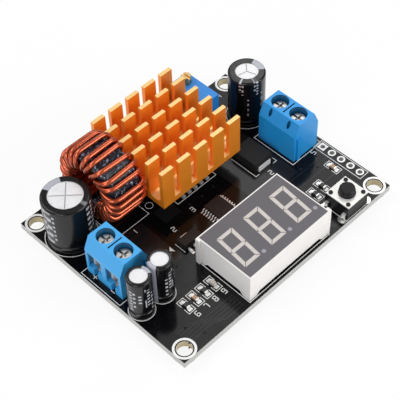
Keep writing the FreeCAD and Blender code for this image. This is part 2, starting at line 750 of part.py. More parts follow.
def make_clamp(name, x, y, turned):
    """A rising clamp at its lowest, open for a wire: a square tube with a threaded top wall."""
    body = new_body(name)
    wide = S.chamber_wide - S.clamp_play * 2
    low, high = S.clamp_rest, S.clamp_rest + S.clamp_tall
    sketch = new_sketch(body, "outer", "YZ_Plane", -S.clamp_back)
    outer = draw_box(sketch, wide, S.clamp_tall, 0, (low + high) / 2)
    pad(body, outer, S.clamp_long)
    sill, lintel = low + S.clamp_sill, clamp_window_top()
    window = draw_box(new_sketch(body, "window", "YZ_Plane"), wide - S.clamp_wall * 2, lintel - sill,
                      0, (sill + lintel) / 2)
    pocket_through(body, window, "window_cut")
    nut = draw_circle(new_sketch(body, "nut", "XY_Plane", high), S.shank_dia / 2 + S.shank_play)
    pocket(body, nut, S.clamp_nut, "nut_cut")
    place(body, x, y, DECK, turn=180 if turned else 0)
    node(body, name)


def make_terminal_screw(name, x, y):
    head_low = S.ledge_low + S.ledge_thick + S.shank_play
    head_top = head_low + S.screw_head_tall
    head, shank = S.screw_head_dia / 2, S.shank_dia / 2
    body = turned_body(name, [
        (0, head_low - S.shank_len), (shank, head_low - S.shank_len), (shank, head_low),
        (head, head_low), (head, head_top - S.edge_break), (head - S.edge_break, head_top), (0, head_top),
    ])
    slots = ((S.drive_wide, S.screw_head_dia * 2), (S.cross_long, S.drive_wide))
    for number, (wide, deep) in enumerate(slots):
        drive = draw_box(new_sketch(body, f"drive_{number}", "XY_Plane", head_top), wide, deep)
        pocket(body, drive, S.drive_deep, f"drive_cut_{number}")
    place(body, x, y, DECK)
    node(body, name)


def make_terminal(prefix, turned):
    sign = block_side(turned)
    edge = LEFT if turned else RIGHT
    x = edge - (S.block_inset + S.block_deep / 2) * sign
    make_housing(f"{prefix}_terminal_housing", x, turned)
    make_contacts(f"{prefix}_terminal_contacts", x, turned)
    for number in range(POLES):
        y = S.pole_pitch * (number - (POLES - 1) / 2)
        screw_x = x + S.screw_shift * sign
        make_clamp(f"{prefix}_clamp_{number + 1}", screw_x, y, turned)
        make_terminal_screw(f"{prefix}_screw_{number + 1}", screw_x, y)


# Display

def segment_outlines():
    """The seven bars of a digit, as corner lists about its middle: mitred ends, with a gap between."""
    wide, high = S.digit_wide / 2, S.digit_high / 2
    thick, gap = S.stroke, S.stroke_gap
    bars = []
    for up in (-1, 1):
        level, inside = high * up, (high - thick) * up
        bars.append([(gap - wide, level), (wide - gap, level), (wide - thick - gap, inside),
                     (thick + gap - wide, inside)])
        for side in (-1, 1):
            bars.append([(wide * side, gap * up), (wide * side, (high - gap) * up),
                         ((wide - thick) * side, (high - thick - gap) * up),
                         ((wide - thick) * side, (thick / 2 + gap) * up)])
    tip = wide - S.bar_tip
    shoulder = tip - thick / 2
    bars.append([(-tip, 0), (-shoulder, thick / -2), (shoulder, thick / -2), (tip, 0),
                 (shoulder, thick / 2), (-shoulder, thick / 2)])
    return bars


def draw_digit(sketch, x, y):
    """A slanted figure eight with its point, centred on x and y."""
    for bar in segment_outlines():
        draw_outline(sketch, [(x + across + up * S.digit_slant, y + up) for across, up in bar])
    draw_circle(sketch, S.dot_dia / 2, x + S.dot_out, y - S.dot_down)


def make_display():
    x, y = S.display_x, FRONT + S.display_front
    first = S.digit_x - S.digit_step * (DIGITS - 1) / 2
    shell = new_body("display_shell")
    plan = draw_box(new_sketch(shell, "plan", "XY_Plane"), S.display_len, S.display_wid)
    pad(shell, plan, S.display_tall)
    for number, side in enumerate((-1, 1)):
        ear = draw_box(new_sketch(shell, f"ear_{number}", "XY_Plane"), S.display_ear * 2, S.display_ear * 2,
                       S.display_len * side / 2, (S.display_ear - S.display_wid / 2) * side)
        pad(shell, ear, S.display_tall, f"ear_pad_{number}")
    inside_len = S.display_len - S.display_wall * 2
    inside_wid = S.display_wid - S.display_wall * 2
    hollow = draw_box(new_sketch(shell, "hollow", "XY_Plane"), inside_len, inside_wid)
    pocket(shell, hollow, S.display_well, "hollow_cut", upward=True)
    for number, (plane, side) in enumerate((("XZ_Plane", S.display_len), ("YZ_Plane", S.display_wid))):
        half, rise = side / 2 - S.display_foot, S.display_arch
        arch = [(-half, 0), (half, 0), (half - rise, rise), (rise - half, rise)]
        sketch = draw_outline(new_sketch(shell, f"arch_{number}", plane), arch)
        pocket_through(shell, sketch, f"arch_cut_{number}")
    sketch = new_sketch(shell, "wells", "XY_Plane", S.display_tall)
    draw_digit(sketch, first, S.digit_y)
    well = pocket(shell, sketch, S.display_tall - S.display_well, "well_cut")
    repeat(shell, [well], "X_Axis", S.digit_step, DIGITS, "digits")
    place(shell, x, y, DECK)
    node(shell, "display_shell")

    bars = new_body("display_segments")
    sketch = new_sketch(bars, "bars", "XY_Plane", S.display_well)
    draw_digit(sketch, first, S.digit_y)
    bar = pad(bars, sketch, S.display_tall - S.display_well)
    repeat(bars, [bar], "X_Axis", S.digit_step, DIGITS, "digits")
    place(bars, x, y, DECK)
    node(bars, "display_segments")

    inner_low = S.display_well - S.inner_thick
    inner = block("display_inner_board", inside_len, inside_wid, S.inner_thick, x, y, DECK + inner_low)
    node(inner, "display_inner_board")

    resin_low = DECK + inner_low - S.resin_thick
    pins, bores = [], []
    for count, row in ((FRONT_PINS, -1), (BACK_PINS, 1)):
        for number in range(count):
            pin_x = x + S.header_pitch * (number - (FRONT_PINS - 1) / 2)
            pin_y = y + S.display_rows * row / 2
            name = f"display_pin_{len(pins)}"
            pins.append(round_lead(name, S.display_pin_dia, pin_x, pin_y, inner_low))
            bores.append(rod(f"{name}_bore", S.display_pin_dia / 2 + S.skin_play,
                             S.resin_thick + OVER * 2, pin_x, pin_y, resin_low - OVER))
    node(group("display_pins", pins), "display_pins")
    slab = block("resin_slab", inside_len, inside_wid, S.resin_thick, x, y, resin_low)
    node(cut("display_resin", slab, group("resin_bores", bores)), "display_resin")


# Push button

def make_button():
    x, y = RIGHT - S.button_side, FRONT + S.button_front
    corners = [(S.rivet_place * a, S.rivet_place * b) for a in (-1, 1) for b in (-1, 1)]
    base = new_body("button_base")
    pad(base, draw_box(new_sketch(base, "plan", "XY_Plane"), S.button_wide, S.button_wide), S.button_base)
    well = draw_circle(new_sketch(base, "well", "XY_Plane", S.button_base), S.button_well_dia / 2)
    pocket(base, well, S.button_base - S.button_floor, "well_cut")
    rivets = new_sketch(base, "rivets", "XY_Plane", S.button_base)
    for spot in corners:
        draw_circle(rivets, S.rivet_dia / 2, *spot)
    pad(base, rivets, S.cover_thick + S.rivet_tall, "rivet_pad")
    place(base, x, y, DECK)
    node(base, "button_base")

    cover = new_body("button_cover")
    plate = draw_box(new_sketch(cover, "plan", "XY_Plane"), S.button_wide, S.button_wide)
    draw_circle(plate, S.stem_dia / 2 + S.stem_play)
    for spot in corners:
        draw_circle(plate, S.rivet_dia / 2 + S.skin_play, *spot)
    pad(cover, plate, S.cover_thick)
    place(cover, x, y, DECK + S.button_base)
    node(cover, "button_cover")

    flange_top = S.button_base - S.skin_play
    flange_low = flange_top - S.flange_thick
    stem, top, edge = S.stem_dia / 2, S.stem_top_dia / 2, S.stem_edge
    plunger = turned_body("button_plunger", [
        (0, flange_low), (S.flange_dia / 2, flange_low), (S.flange_dia / 2, flange_top),
        (stem, flange_top), (stem, S.button_base + S.cover_thick + S.stem_collar),
        (top, S.stem_tall - edge), (top - edge, S.stem_tall), (0, S.stem_tall),
    ])
    place(plunger, x, y, DECK)
    node(plunger, "button_plunger")

    rim, crown, thick = S.button_well_dia / 2 - S.dome_play, S.dome_rise, S.dome_thick
    dome = turned_body("button_dome", [
        (0, crown - thick), (rim / 2, crown * 3 / 4 - thick), (rim - S.dome_rim, 0), (rim, 0),
        (rim, thick), (rim / 2, crown * 3 / 4), (0, crown),
    ])
    place(dome, x, y, DECK + S.button_floor)
    node(dome, "button_dome")

    legs = []
    for side in (-1, 1):
        for row in (-1, 1):
            name = f"button_leg_{len(legs)}"
            reach = S.leg_out + S.leg_thick
            leg_y = y + S.leg_step * row / 2
            shelf = block(f"{name}_shelf", reach, S.leg_wide, S.leg_thick,
                          x + (S.button_wide + reach) * side / 2, leg_y, DECK + S.leg_high - S.leg_thick)
            drop_x = x + (S.button_wide / 2 + S.leg_out + S.leg_thick / 2) * side
            drop = block(f"{name}_drop", S.leg_thick, S.leg_wide, DECK + S.leg_high, drop_x, leg_y)
            legs.append(fuse(name, shelf, drop))
            flat_lead(drop_x, leg_y, S.leg_thick, S.leg_wide)
    node(group("button_legs", legs), "button_legs")


# Trimmer

def make_trimmer():
    x, y = S.trimmer_x, BACK - S.trimmer_back
    wall, top = S.trimmer_wall, S.trimmer_tall
    inside_wid, inside_len = S.trimmer_wid - wall * 2, S.trimmer_len - wall * 2
    screw_y = S.trimmer_len / 2 - S.adjuster_back
    housing = new_body("trimmer_housing")
    pad(housing, draw_box(new_sketch(housing, "plan", "XY_Plane"), S.trimmer_wid, S.trimmer_len), top)
    hollow = draw_box(new_sketch(housing, "hollow", "XY_Plane"), inside_wid, inside_len)
    pocket(housing, hollow, top - S.trimmer_roof, "hollow_cut", upward=True)
    relief = draw_box(new_sketch(housing, "relief", "XY_Plane"), S.trimmer_wid + OVER,
                      S.trimmer_len - S.trimmer_toe * 2)
    pocket(housing, relief, S.trimmer_foot, "relief_cut", upward=True)
    bore = draw_circle(new_sketch(housing, "bore", "XY_Plane", top),
                       S.adjuster_dia / 2 + S.adjuster_play, S.adjuster_x, screw_y)
    pocket(housing, bore, S.trimmer_roof, "bore_cut")
    place(housing, x, y, DECK)
    node(housing, "trimmer_housing")

    head, worm, edge = S.adjuster_dia / 2, S.worm_dia / 2, S.adjuster_edge
    roof_low = top - S.trimmer_roof - S.adjuster_play
    collar_low = roof_low - S.collar_thick
    high = top + S.adjuster_rise
    screw = turned_body("trimmer_screw", [
        (0, S.worm_low), (worm, S.worm_low), (worm, collar_low), (head + S.collar, collar_low),
        (head + S.collar, roof_low), (head, roof_low), (head, high - edge), (head - edge, high), (0, high),
    ])
    slot = draw_box(new_sketch(screw, "slot", "XY_Plane", high), S.drive_wide, S.adjuster_dia * 2)
    pocket(screw, slot, S.adjuster_slot, "slot_cut")
    place(screw, x + S.adjuster_x, y + screw_y, DECK)
    node(screw, "trimmer_screw")

    wheel_y = screw_y - worm - S.wheel_play - S.wheel_dia / 2
    wheel = new_body("trimmer_wheel")
    disc = draw_circle(new_sketch(wheel, "disc", "YZ_Plane", S.adjuster_x), S.wheel_dia / 2)
    pad(wheel, disc, S.wheel_thick, "disc_pad", both_ways=True)
    axle = draw_circle(new_sketch(wheel, "axle", "YZ_Plane"), S.axle_dia / 2)
    pad(wheel, axle, inside_wid - S.wheel_play, "axle_pad", both_ways=True)
    place(wheel, x, y + wheel_y, DECK + S.wheel_up)
    node(wheel, "trimmer_wheel")

    base = block("trimmer_base", inside_wid, inside_len, S.trimmer_base, x, y, DECK + S.trimmer_foot)
    node(base, "trimmer_base")
    pins = [round_lead(f"trimmer_pin_{number}", S.trimmer_pin_dia, x,
                       y + S.header_pitch * (number - 1), S.trimmer_foot) for number in range(3)]
    node(group("trimmer_pins", pins), "trimmer_pins")


# Small packages

def make_controller():
    """A moulded package with a row of gull-wing leads on each long side."""
    lift, thick, draft, foot = S.chip_lift, S.gull_thick, S.mould_draft, S.mould_foot
    body = new_body("controller_body")
    half, tall, mid = S.control_wid / 2, S.control_tall, (S.control_tall + lift) / 2
    end = [
        (foot - half, lift), (half - foot, lift), (half, mid), (half, mid + thick),
        (half - draft, tall), (draft - half, tall), (-half, mid + thick), (-half, mid),
    ]
    sketch = draw_outline(new_sketch(body, "end", "XZ_Plane"), end)
    pad(body, sketch, S.control_len, both_ways=True)
    place(body, S.control_x, S.control_y, DECK)
    node(body, "controller_body")

    leads = new_body("controller_leads")
    sketch = new_sketch(leads, "bend", "XZ_Plane")
    bend = gull_wing((S.control_span - S.control_wid) / 2, mid, thick, half)
    draw_outline(sketch, bend)
    draw_outline(sketch, [(-across, up) for across, up in reversed(bend)])
    pair = pad(leads, sketch, S.control_lead, both_ways=True)
    repeat(leads, [pair], "Y_Axis", S.control_pitch, CONTROL_LEADS, "row")
    place(leads, S.control_x, S.control_y - S.control_pitch * (CONTROL_LEADS - 1) / 2, DECK)
    node(leads, "controller_leads")


def draw_flat_leads(sketch):
    """Three flat leads: the middle one widens under the package into a tab at its back."""
    tip, rear = -(S.amp_wid / 2 + S.amp_reach), S.amp_wid / 2 + S.amp_tab_reach
    neck = S.amp_neck - S.amp_wid / 2
    lead, tab = S.amp_lead / 2, S.amp_tab_wide / 2
    draw_outline(sketch, [(-lead, tip), (lead, tip), (lead, neck), (tab, neck), (tab, rear),
                          (-tab, rear), (-tab, neck), (-lead, neck)])
    for side in (-1, 1):
        draw_box(sketch, S.amp_lead, neck - tip, S.amp_pitch * side, (neck + tip) / 2)
    return sketch


def make_amplifier():
    body = new_body("amplifier_body")
    half, thick = S.amp_wid / 2, S.amp_thick
    end = [(-half, 0), (half, 0), (half, thick), (half - S.amp_draft, S.amp_tall),
           (S.amp_draft - half, S.amp_tall), (-half, thick)]
    sketch = draw_outline(new_sketch(body, "end", "YZ_Plane"), end)
    pad(body, sketch, S.amp_len, both_ways=True)
    pocket(body, draw_flat_leads(new_sketch(body, "seat", "XY_Plane")), thick, "seat_cut", upward=True)
    place(body, S.amp_x, S.amp_y, DECK)
    node(body, "amplifier_body")

    leads = new_body("amplifier_leads")
    leads.AllowCompound = True
    pad(leads, draw_flat_leads(new_sketch(leads, "plan", "XY_Plane")), thick)
    place(leads, S.amp_x, S.amp_y, DECK)
    node(leads, "amplifier_leads")


def make_chips():
    """Six small resistors and capacitors and an indicator lamp, all with metal ends along Y."""
    row_y = FRONT + S.row_front
    row = [(S.row_first + S.row_step * number, row_y) for number in range(CHIP_ROW)]
    others = [(RIGHT - S.near_side, FRONT + S.near_front), (RIGHT - S.next_side, FRONT + S.next_front),
              (RIGHT - S.edge_side, FRONT + S.edge_front)]
    lamp = row[-1]
    plain = row[:-1] + others
    bodies = [block(f"chip_body_{number}", S.part_wid, S.part_mid, S.part_tall, x, y, DECK)
              for number, (x, y) in enumerate(plain)]
    node(group("chip_bodies", bodies), "chip_bodies")
    ends = []
    for x, y in plain + [lamp]:
        for side in (-1, 1):
            end_y = y + (S.part_mid + S.part_end) * side / 2
            name = f"chip_end_{len(ends)}"
            ends.append(block(name, S.part_wid, S.part_end, S.part_tall, x, end_y, DECK))
    node(group("chip_ends", ends), "chip_ends")
    node(block("lamp_base", S.part_wid, S.part_mid, S.lamp_base, *lamp, DECK), "lamp_base")
    lens = block("lamp_lens", S.part_wid, S.part_mid, S.part_tall, *lamp, DECK + S.lamp_base)
    node(lens, "lamp_lens")


# Board and solder

def hole_radius(first, second):
    """The hole round a lead, from its radius or from its two sides."""
    if second is None:
        return first + S.hole_play
    diagonal = math.hypot(float(first), float(second))
    return first * (diagonal / float(first) / 2) + S.hole_play


def make_board():
    board = new_body("circuit_board")
    plan = draw_box(new_sketch(board, "plan", "XY_Plane"), S.board_len, S.board_wid)
    pad(board, plan, S.board_thick)
    holes = new_sketch(board, "holes", "XY_Plane")
    for side_x in (-1, 1):
        for side_y in (-1, 1):
            draw_circle(holes, S.mount_dia / 2, (RIGHT - S.mount_inset) * side_x,
                        (BACK - S.mount_inset) * side_y)
    for number in range(HEADER_HOLES):
        draw_circle(holes, S.header_bore / 2, RIGHT - S.header_inset,
                    -S.header_first - S.header_pitch * number)
    for x, y, first, second in LEADS:
        draw_circle(holes, hole_radius(first, second), x, y)
    pocket_through(board, holes, "hole_cut")
    place(board, 0, 0, S.lead_trim)
    node(board, "circuit_board")


def make_solder():
    """A solder cone round each lead, on the underside of the board."""
    cones = []
    for number, (x, y, first, second) in enumerate(LEADS):
        name = f"solder_{number}"
        foot = hole_radius(first, second) + S.solder_lip
        tall = S.lead_trim - S.solder_tip
        if second is None:
            tool = rod(f"{name}_lead", first, DECK, x, y)
        else:
            tool = block(f"{name}_lead", first, second, DECK, x, y)
        solid = cone(f"{name}_cone", foot - S.solder_slope, foot, tall, x, y, S.solder_tip)
        cones.append(cut(name, solid, tool))
    node(group("solder_joints", cones), "solder_joints")


# Assembly

make_transistor()
make_heatsink()
make_diode()
make_inductor()
make_capacitor("input_capacitor", False, S.big_dia, S.big_tall, S.big_disc, S.big_gap, S.cap_lead_dia,
               coil_x() - coil_half_width() - S.big_room - S.big_dia / 2, BACK - S.big_back, vents=4)
make_capacitor("output_capacitor", False, S.mid_dia, S.mid_tall, S.mid_disc, S.mid_gap, S.cap_lead_dia,
               RIGHT - S.mid_side, BACK - S.mid_back, vents=3)
make_capacitor("small_capacitor", True, S.small_dia, S.small_tall, S.small_disc, S.small_gap,
               S.small_lead_dia, LEFT + S.small_side, FRONT + S.small_front, S.small_step)
make_terminal("input", turned=True)
make_terminal("output", turned=False)
make_display()
make_button()
make_trimmer()
make_controller()
make_amplifier()
make_chips()
make_board()
make_solder()
DOC.recompute()

for thing in DOC.Objects:
    if "Invalid" in thing.State or "Error" in thing.State:
        raise SystemExit(f"{thing.Name} failed: {thing.State}")
for thing in NODES:
    if thing.Shape.isNull() or not thing.Shape.isValid():
        raise SystemExit(f"{thing.Label} has no valid shape")

os.makedirs("parts", exist_ok=True)
for thing in NODES:
    thing.Shape.exportStep(f"parts/{thing.Label}.step")
print(len(NODES), "pieces written")
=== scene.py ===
import json
import math

import bpy
import bmesh
from mathutils import Matrix, Vector


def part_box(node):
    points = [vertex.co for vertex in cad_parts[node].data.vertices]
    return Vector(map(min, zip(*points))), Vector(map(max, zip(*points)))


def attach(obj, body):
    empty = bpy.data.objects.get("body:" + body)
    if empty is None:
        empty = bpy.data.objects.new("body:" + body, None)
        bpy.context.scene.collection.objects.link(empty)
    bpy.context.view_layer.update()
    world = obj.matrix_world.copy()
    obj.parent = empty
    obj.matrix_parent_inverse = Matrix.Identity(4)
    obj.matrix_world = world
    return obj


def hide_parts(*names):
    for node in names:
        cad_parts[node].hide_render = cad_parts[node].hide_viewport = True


# The looks of a boost converter module: a finish for every CAD node, the board's print, tracks, pads and
# solder, the inductor's round wire, and the studio.
# The frame is the CAD's: X along the display, Y to the heatsink's side, Z up, in metres.

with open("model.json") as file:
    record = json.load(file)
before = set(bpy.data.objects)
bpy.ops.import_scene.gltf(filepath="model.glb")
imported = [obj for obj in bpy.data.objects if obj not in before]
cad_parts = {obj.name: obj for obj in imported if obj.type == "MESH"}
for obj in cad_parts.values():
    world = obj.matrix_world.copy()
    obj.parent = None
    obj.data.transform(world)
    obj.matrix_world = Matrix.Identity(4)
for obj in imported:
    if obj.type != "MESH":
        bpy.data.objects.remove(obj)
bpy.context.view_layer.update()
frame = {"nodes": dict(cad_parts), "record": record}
NODES = frame["nodes"]
MM = 0.001

BOARD_LOW, BOARD_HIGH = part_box("circuit_board")
DECK = BOARD_HIGH.z
UNDER = BOARD_LOW.z


# Node trees

class Finish:
    """A procedural material: one principled shader with nodes in the frame's own coordinates."""

    def __init__(self, name, color, roughness, metallic=0.0, **constants):
        self.material = bpy.data.materials.new(name)
        self.material.use_nodes = True
        self.tree = self.material.node_tree
        self.shader = self.tree.nodes["Principled BSDF"]
        self.place = None
        self.set(self.shader, {"Base Color": rgba(color), "Roughness": roughness, "Metallic": metallic})
        self.set(self.shader, {name.replace("_", " "): value for name, value in constants.items()})

    def set(self, node, inputs):
        for name, value in inputs.items():
            if isinstance(value, bpy.types.NodeSocket):
                self.tree.links.new(value, node.inputs[name])
            else:
                node.inputs[name].default_value = value

    def add(self, kind, inputs=None, **settings):
        node = self.tree.nodes.new(f"ShaderNode{kind}")
        for name, value in settings.items():
            setattr(node, name, value)
        self.set(node, inputs or {})
        return node

    def coords(self):
        if self.place is None:
            self.place = self.add("TexCoord").outputs["Object"]
        return self.place

    def axes(self, vector=None):
        split = self.add("SeparateXYZ", {"Vector": vector or self.coords()})
        return split.outputs["X"], split.outputs["Y"], split.outputs["Z"]

    def calc(self, operation, first, second=0.0, third=0.0):
        node = self.add("Math", {0: first, 1: second, 2: third}, operation=operation)
        return node.outputs["Value"]

    def product(self, *values):
        result = values[0]
        for value in values[1:]:
            result = self.calc("MULTIPLY", result, value)
        return result

    def largest(self, *values):
        result = values[0]
        for value in values[1:]:
            result = self.calc("MAXIMUM", result, value)
        return result

    def size(self, value):
        """The value without its sign."""
        return self.calc("ABSOLUTE", value)

    def above(self, value, limit):
        return self.calc("GREATER_THAN", value, limit)

    def below(self, value, limit):
        return self.calc("LESS_THAN", value, limit)

    def stretched(self, x, y, z):
        """The coordinates scaled along each axis, for grain that runs one way."""
        node = self.add("VectorMath", {0: self.coords(), 1: (x, y, z)}, operation="MULTIPLY")
        return node.outputs["Vector"]

    def noise(self, scale, detail=3.0, roughness=0.55, vector=None):
        inputs = {"Vector": vector or self.coords(), "Scale": scale, "Detail": detail, "Roughness": roughness}
        return self.add("TexNoise", inputs).outputs["Fac"]

    def cells(self, scale):
        inputs = {"Vector": self.coords(), "Scale": scale}
        return self.add("TexVoronoi", inputs, feature="SMOOTH_F1").outputs["Distance"]

    def span(self, value, low, high, start=0.0, end=1.0):
        """Map a value from low..high to start..end, clamped."""
        inputs = {"Value": value, "From Min": low, "From Max": high, "To Min": start, "To Max": end}
        return self.add("MapRange", inputs).outputs["Result"]

    def band(self, value, low, high, edge):
        """One between low and high, nought outside, with soft edges."""
        rise = self.span(value, low - edge, low + edge)
        fall = self.span(value, high - edge, high + edge, 1.0, 0.0)
        return self.product(rise, fall)

    def blend(self, factor, first, second):
        node = self.add("Mix", data_type="RGBA")
        self.set(node, {0: factor, 6: rgba(first), 7: rgba(second)})
        return node.outputs[2]

    def normal(self):
        """The surface normal's three parts."""
        return self.axes(self.add("NewGeometry").outputs["Normal"])

    def upright(self, limit=0.5):
        """One on walls, nought on faces that look up or down."""
        return self.below(self.size(self.normal()[2]), limit)

    def color(self, value):
        self.set(self.shader, {"Base Color": value})
        return self

    def rough(self, value, low, high):
        """Roughness from low to high as the value goes from nought to one."""
        self.set(self.shader, {"Roughness": self.span(value, 0.0, 1.0, low, high)})
        return self

    def bump(self, height, distance, strength=1.0):
        """Relief of the given depth, laid over any bump that is there already."""
        previous = self.shader.inputs["Normal"]
        node = self.add("Bump", {"Height": height, "Distance": distance, "Strength": strength})
        if previous.is_linked:
            self.set(node, {"Normal": previous.links[0].from_socket})
        self.tree.links.new(node.outputs["Normal"], previous)
        return self


def rgba(color):
    if isinstance(color, bpy.types.NodeSocket):
        return color
    return (*color, 1.0) if len(color) == 3 else color


def scaled(color, factor):
    return tuple(part * factor for part in color)


def corners_of(points):
    """The low and high corner of the box round some points."""
    return tuple(Vector([pick(point[axis] for point in points) for axis in range(3)]) for pick in (min, max))


def islands(node):
    """The low and high corner of each separate solid in a CAD node."""
    mesh = NODES[node].data
    parent = list(range(len(mesh.vertices)))

    def find(item):
        while parent[item] != item:
            parent[item] = parent[parent[item]]
            item = parent[item]
        return item

    places = {}
    for vertex in mesh.vertices:
        key = tuple(round(part, 7) for part in vertex.co)
        parent[vertex.index] = places.setdefault(key, vertex.index)
    for edge in mesh.edges:
        parent[find(edge.vertices[0])] = find(edge.vertices[1])
    groups = {}
    for vertex in mesh.vertices:
        groups.setdefault(find(vertex.index), []).append(vertex.co)
    return [corners_of(points) for points in groups.values()]


# Finishes

def solder_mask():
    """Glossy black mask, with the pale glass-cloth edge showing round the board's rim."""
    finish = Finish("solder_mask", (0.004, 0.004, 0.005), 0.12, Specular_IOR_Level=0.17)
    x, y = finish.axes()[:2]
    rim = finish.largest(finish.above(finish.size(x), BOARD_HIGH.x - RIM_DEPTH),
                         finish.above(finish.size(y), BOARD_HIGH.y - RIM_DEPTH))
    rim = finish.product(rim, finish.upright())
    layers = finish.noise(900.0, vector=finish.stretched(0.2, 0.2, 6.0))
    glass = finish.blend(layers, (0.36, 0.355, 0.34), (0.62, 0.615, 0.6))
    dust = finish.span(finish.noise(2600.0, 4.0), 0.62, 0.72)
    mask = finish.blend(dust, (0.003, 0.003, 0.004), (0.009, 0.009, 0.01))
    finish.color(finish.blend(rim, mask, glass))
    gloss = finish.calc("ADD", finish.product(rim, 0.6), finish.noise(420.0))
    finish.rough(gloss, 0.06, 0.22)
    return finish.bump(finish.noise(700.0, 2.0), 0.01 * MM, 0.35).material


def covered_copper():
    """Mask over copper: a shade lighter, and a little raised."""
    finish = Finish("covered_copper", (0.018, 0.018, 0.019), 0.2, Specular_IOR_Level=0.22)
    finish.color(finish.blend(finish.noise(1500.0), (0.007, 0.007, 0.008), (0.013, 0.013, 0.014)))
    finish.rough(finish.noise(420.0), 0.1, 0.24)
    return finish.bump(finish.noise(700.0, 2.0), 0.01 * MM, 0.35).material


def print_ink():
    """White ink, a little uneven."""
    finish = Finish("print_ink", (0.82, 0.82, 0.8), 0.5)
    grain = finish.noise(6000.0, 4.0)
    finish.color(finish.blend(grain, (0.7, 0.7, 0.68), (0.9, 0.9, 0.88)))
    return finish.bump(grain, 0.006 * MM, 0.5).material


def plating(name, color, dull=0.0, metallic=1.0):
    """Plated metal with a fine uneven surface; dull adds to its roughness."""
    finish = Finish(name, color, 0.3, metallic)
    wear = finish.noise(1400.0, 4.0)
    finish.color(finish.blend(wear, scaled(color, 0.78), color))
    finish.rough(wear, 0.22 + dull, 0.42 + dull)
    return finish.bump(finish.noise(2500.0, 3.0), 0.012 * MM, 0.5).material


def hole_plating(name, shaded_wall):
    """A plated hole: bright land on the faces; the wall's plating colour darkened as painted shade."""
    finish = Finish(name, (0.9, 0.9, 0.87), 0.35, 0.3)
    land = finish.blend(finish.noise(1300.0), (0.76, 0.76, 0.74), (0.87, 0.87, 0.85))
    # Painted shade: the wall takes the darker colour that it is given.
    finish.color(finish.blend(finish.upright(), land, shaded_wall))
    return finish.bump(finish.noise(900.0, 2.0), 0.01 * MM, 0.2).material


def gold_anodised():
    """Sawn and extruded aluminium, dyed gold: faint drawing lines along the fins, and painted light on up
    faces.
    """
    finish = Finish("gold_anodised", (0.92, 0.42, 0.05), 0.34, 0.35)
    lines = finish.noise(700.0, 3.0, vector=finish.stretched(0.15, 5.0, 5.0))
    patches = finish.noise(260.0, 4.0)
    # Painted light: faces that look up take a paler, lit copy of the gold.
    painted_top_light = finish.span(finish.normal()[2], 0.35, 0.95)
    side = finish.blend(patches, (0.92, 0.25, 0.012), (1.0, 0.35, 0.028))
    top = finish.blend(lines, (0.88, 0.54, 0.17), (0.96, 0.68, 0.31))
    finish.color(finish.blend(painted_top_light, side, top))
    finish.rough(lines, 0.26, 0.44)
    finish.bump(lines, 0.02 * MM, 0.35)
    return finish.bump(finish.noise(5200.0, 2.0), 0.006 * MM, 0.4).material


def moulded_shade(finish, color):
    """Slow changes of shade."""
    return finish.blend(finish.noise(190.0, 3.0), scaled(color, 0.88), color)


def moulded_grain(finish, roughness):
    """A fine grain, in the gloss and in the relief."""
    fine = finish.noise(2400.0, 3.0)
    finish.rough(fine, roughness - 0.06, roughness + 0.1)
    return finish.bump(fine, 0.012 * MM, 0.5).material


def moulded(name, color, roughness, specular=0.5):
    """Moulded plastic."""
    finish = Finish(name, color, roughness, Specular_IOR_Level=specular)
    finish.color(moulded_shade(finish, color))
    return moulded_grain(finish, roughness)


def terminal_plastic(name, color, housing, screw):
    """Moulded plastic, painted shade: the pole slit almost black, the wells, mouths and probe slots darker.
    """
    finish = Finish(name, color, TERMINAL_ROUGHNESS)
    hollow_shade = terminal_hollow_shade(finish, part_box(housing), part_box(screw))
    # Painted shade: the hollows' colour is darkened to three tenths.
    shade = finish.blend(hollow_shade, moulded_shade(finish, color), scaled(color, 0.3))
    slit_shade = terminal_slit_shade(finish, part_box(housing)[1].z)
    # Painted shade: the slit is coloured almost black.
    finish.color(finish.blend(slit_shade, shade, scaled(color, 0.04)))
    return moulded_grain(finish, TERMINAL_ROUGHNESS)


def terminal_slit_shade(finish, top):
    """Where shade is painted: one in the narrow slit between the two screws, nought on the housing's slopes.
    """
    y, z = finish.axes()[1:]
    level = finish.below(finish.size(finish.normal()[0]), 0.3)
    across = finish.band(y, -SLIT_HALF, SLIT_HALF, 0.005 * MM)
    return finish.product(across, finish.band(z, top - SLIT_DEEP, top - 0.02 * MM, 0.01 * MM), level)


def terminal_hollow_shade(finish, housing, screw):
    """Where shade is painted: one in the screw wells, the wire mouths and the probe slots of both poles."""
    (low, high), (screw_low, screw_high) = housing, screw
    x, y, z = finish.axes()
    screw_middle = (screw_low + screw_high) / 2
    across = finish.calc("SUBTRACT", x, screw_middle.x)
    along = finish.calc("SUBTRACT", finish.size(y), abs(screw_middle.y))
    reach = finish.calc("SQRT", finish.calc("MULTIPLY_ADD", across, across, finish.product(along, along)))
    well = finish.product(finish.below(reach, (screw_high.x - screw_low.x) / 2 + WELL_PLAY),
                          finish.below(z, high.z - 0.05 * MM))
    depth = finish.calc("SUBTRACT", max(abs(low.x), abs(high.x)), finish.size(x))
    mouth = finish.product(finish.band(along, -MOUTH_HALF, MOUTH_HALF, 0.01 * MM),
                           finish.band(z, DECK + MOUTH_LOW, DECK + MOUTH_HIGH, 0.05 * MM),
                           finish.band(depth, 0.3 * MM, MOUTH_DEEP, 0.05 * MM))
    probe = finish.product(finish.band(along, -PROBE_HALF, PROBE_HALF, 0.01 * MM),
                           finish.above(z, high.z - PROBE_DEEP), finish.upright(0.2),
                           finish.band(depth, 0.1 * MM, high.x - low.x - 0.1 * MM, 0.02 * MM))
    return finish.largest(well, mouth, probe)


def package_epoxy(name, color, gloss):
    """Filled epoxy: matte, with the sparkle of its filler."""
    finish = Finish(name, color, gloss, Specular_IOR_Level=0.18)
    grain = finish.cells(5200.0)
    fleck = finish.span(finish.noise(7000.0, 2.0), 0.6, 0.75)
    finish.color(finish.blend(fleck, color, scaled(color, 2.6)))
    finish.rough(grain, gloss - 0.08, gloss + 0.12)
    return finish.bump(grain, 0.02 * MM, 0.6).material


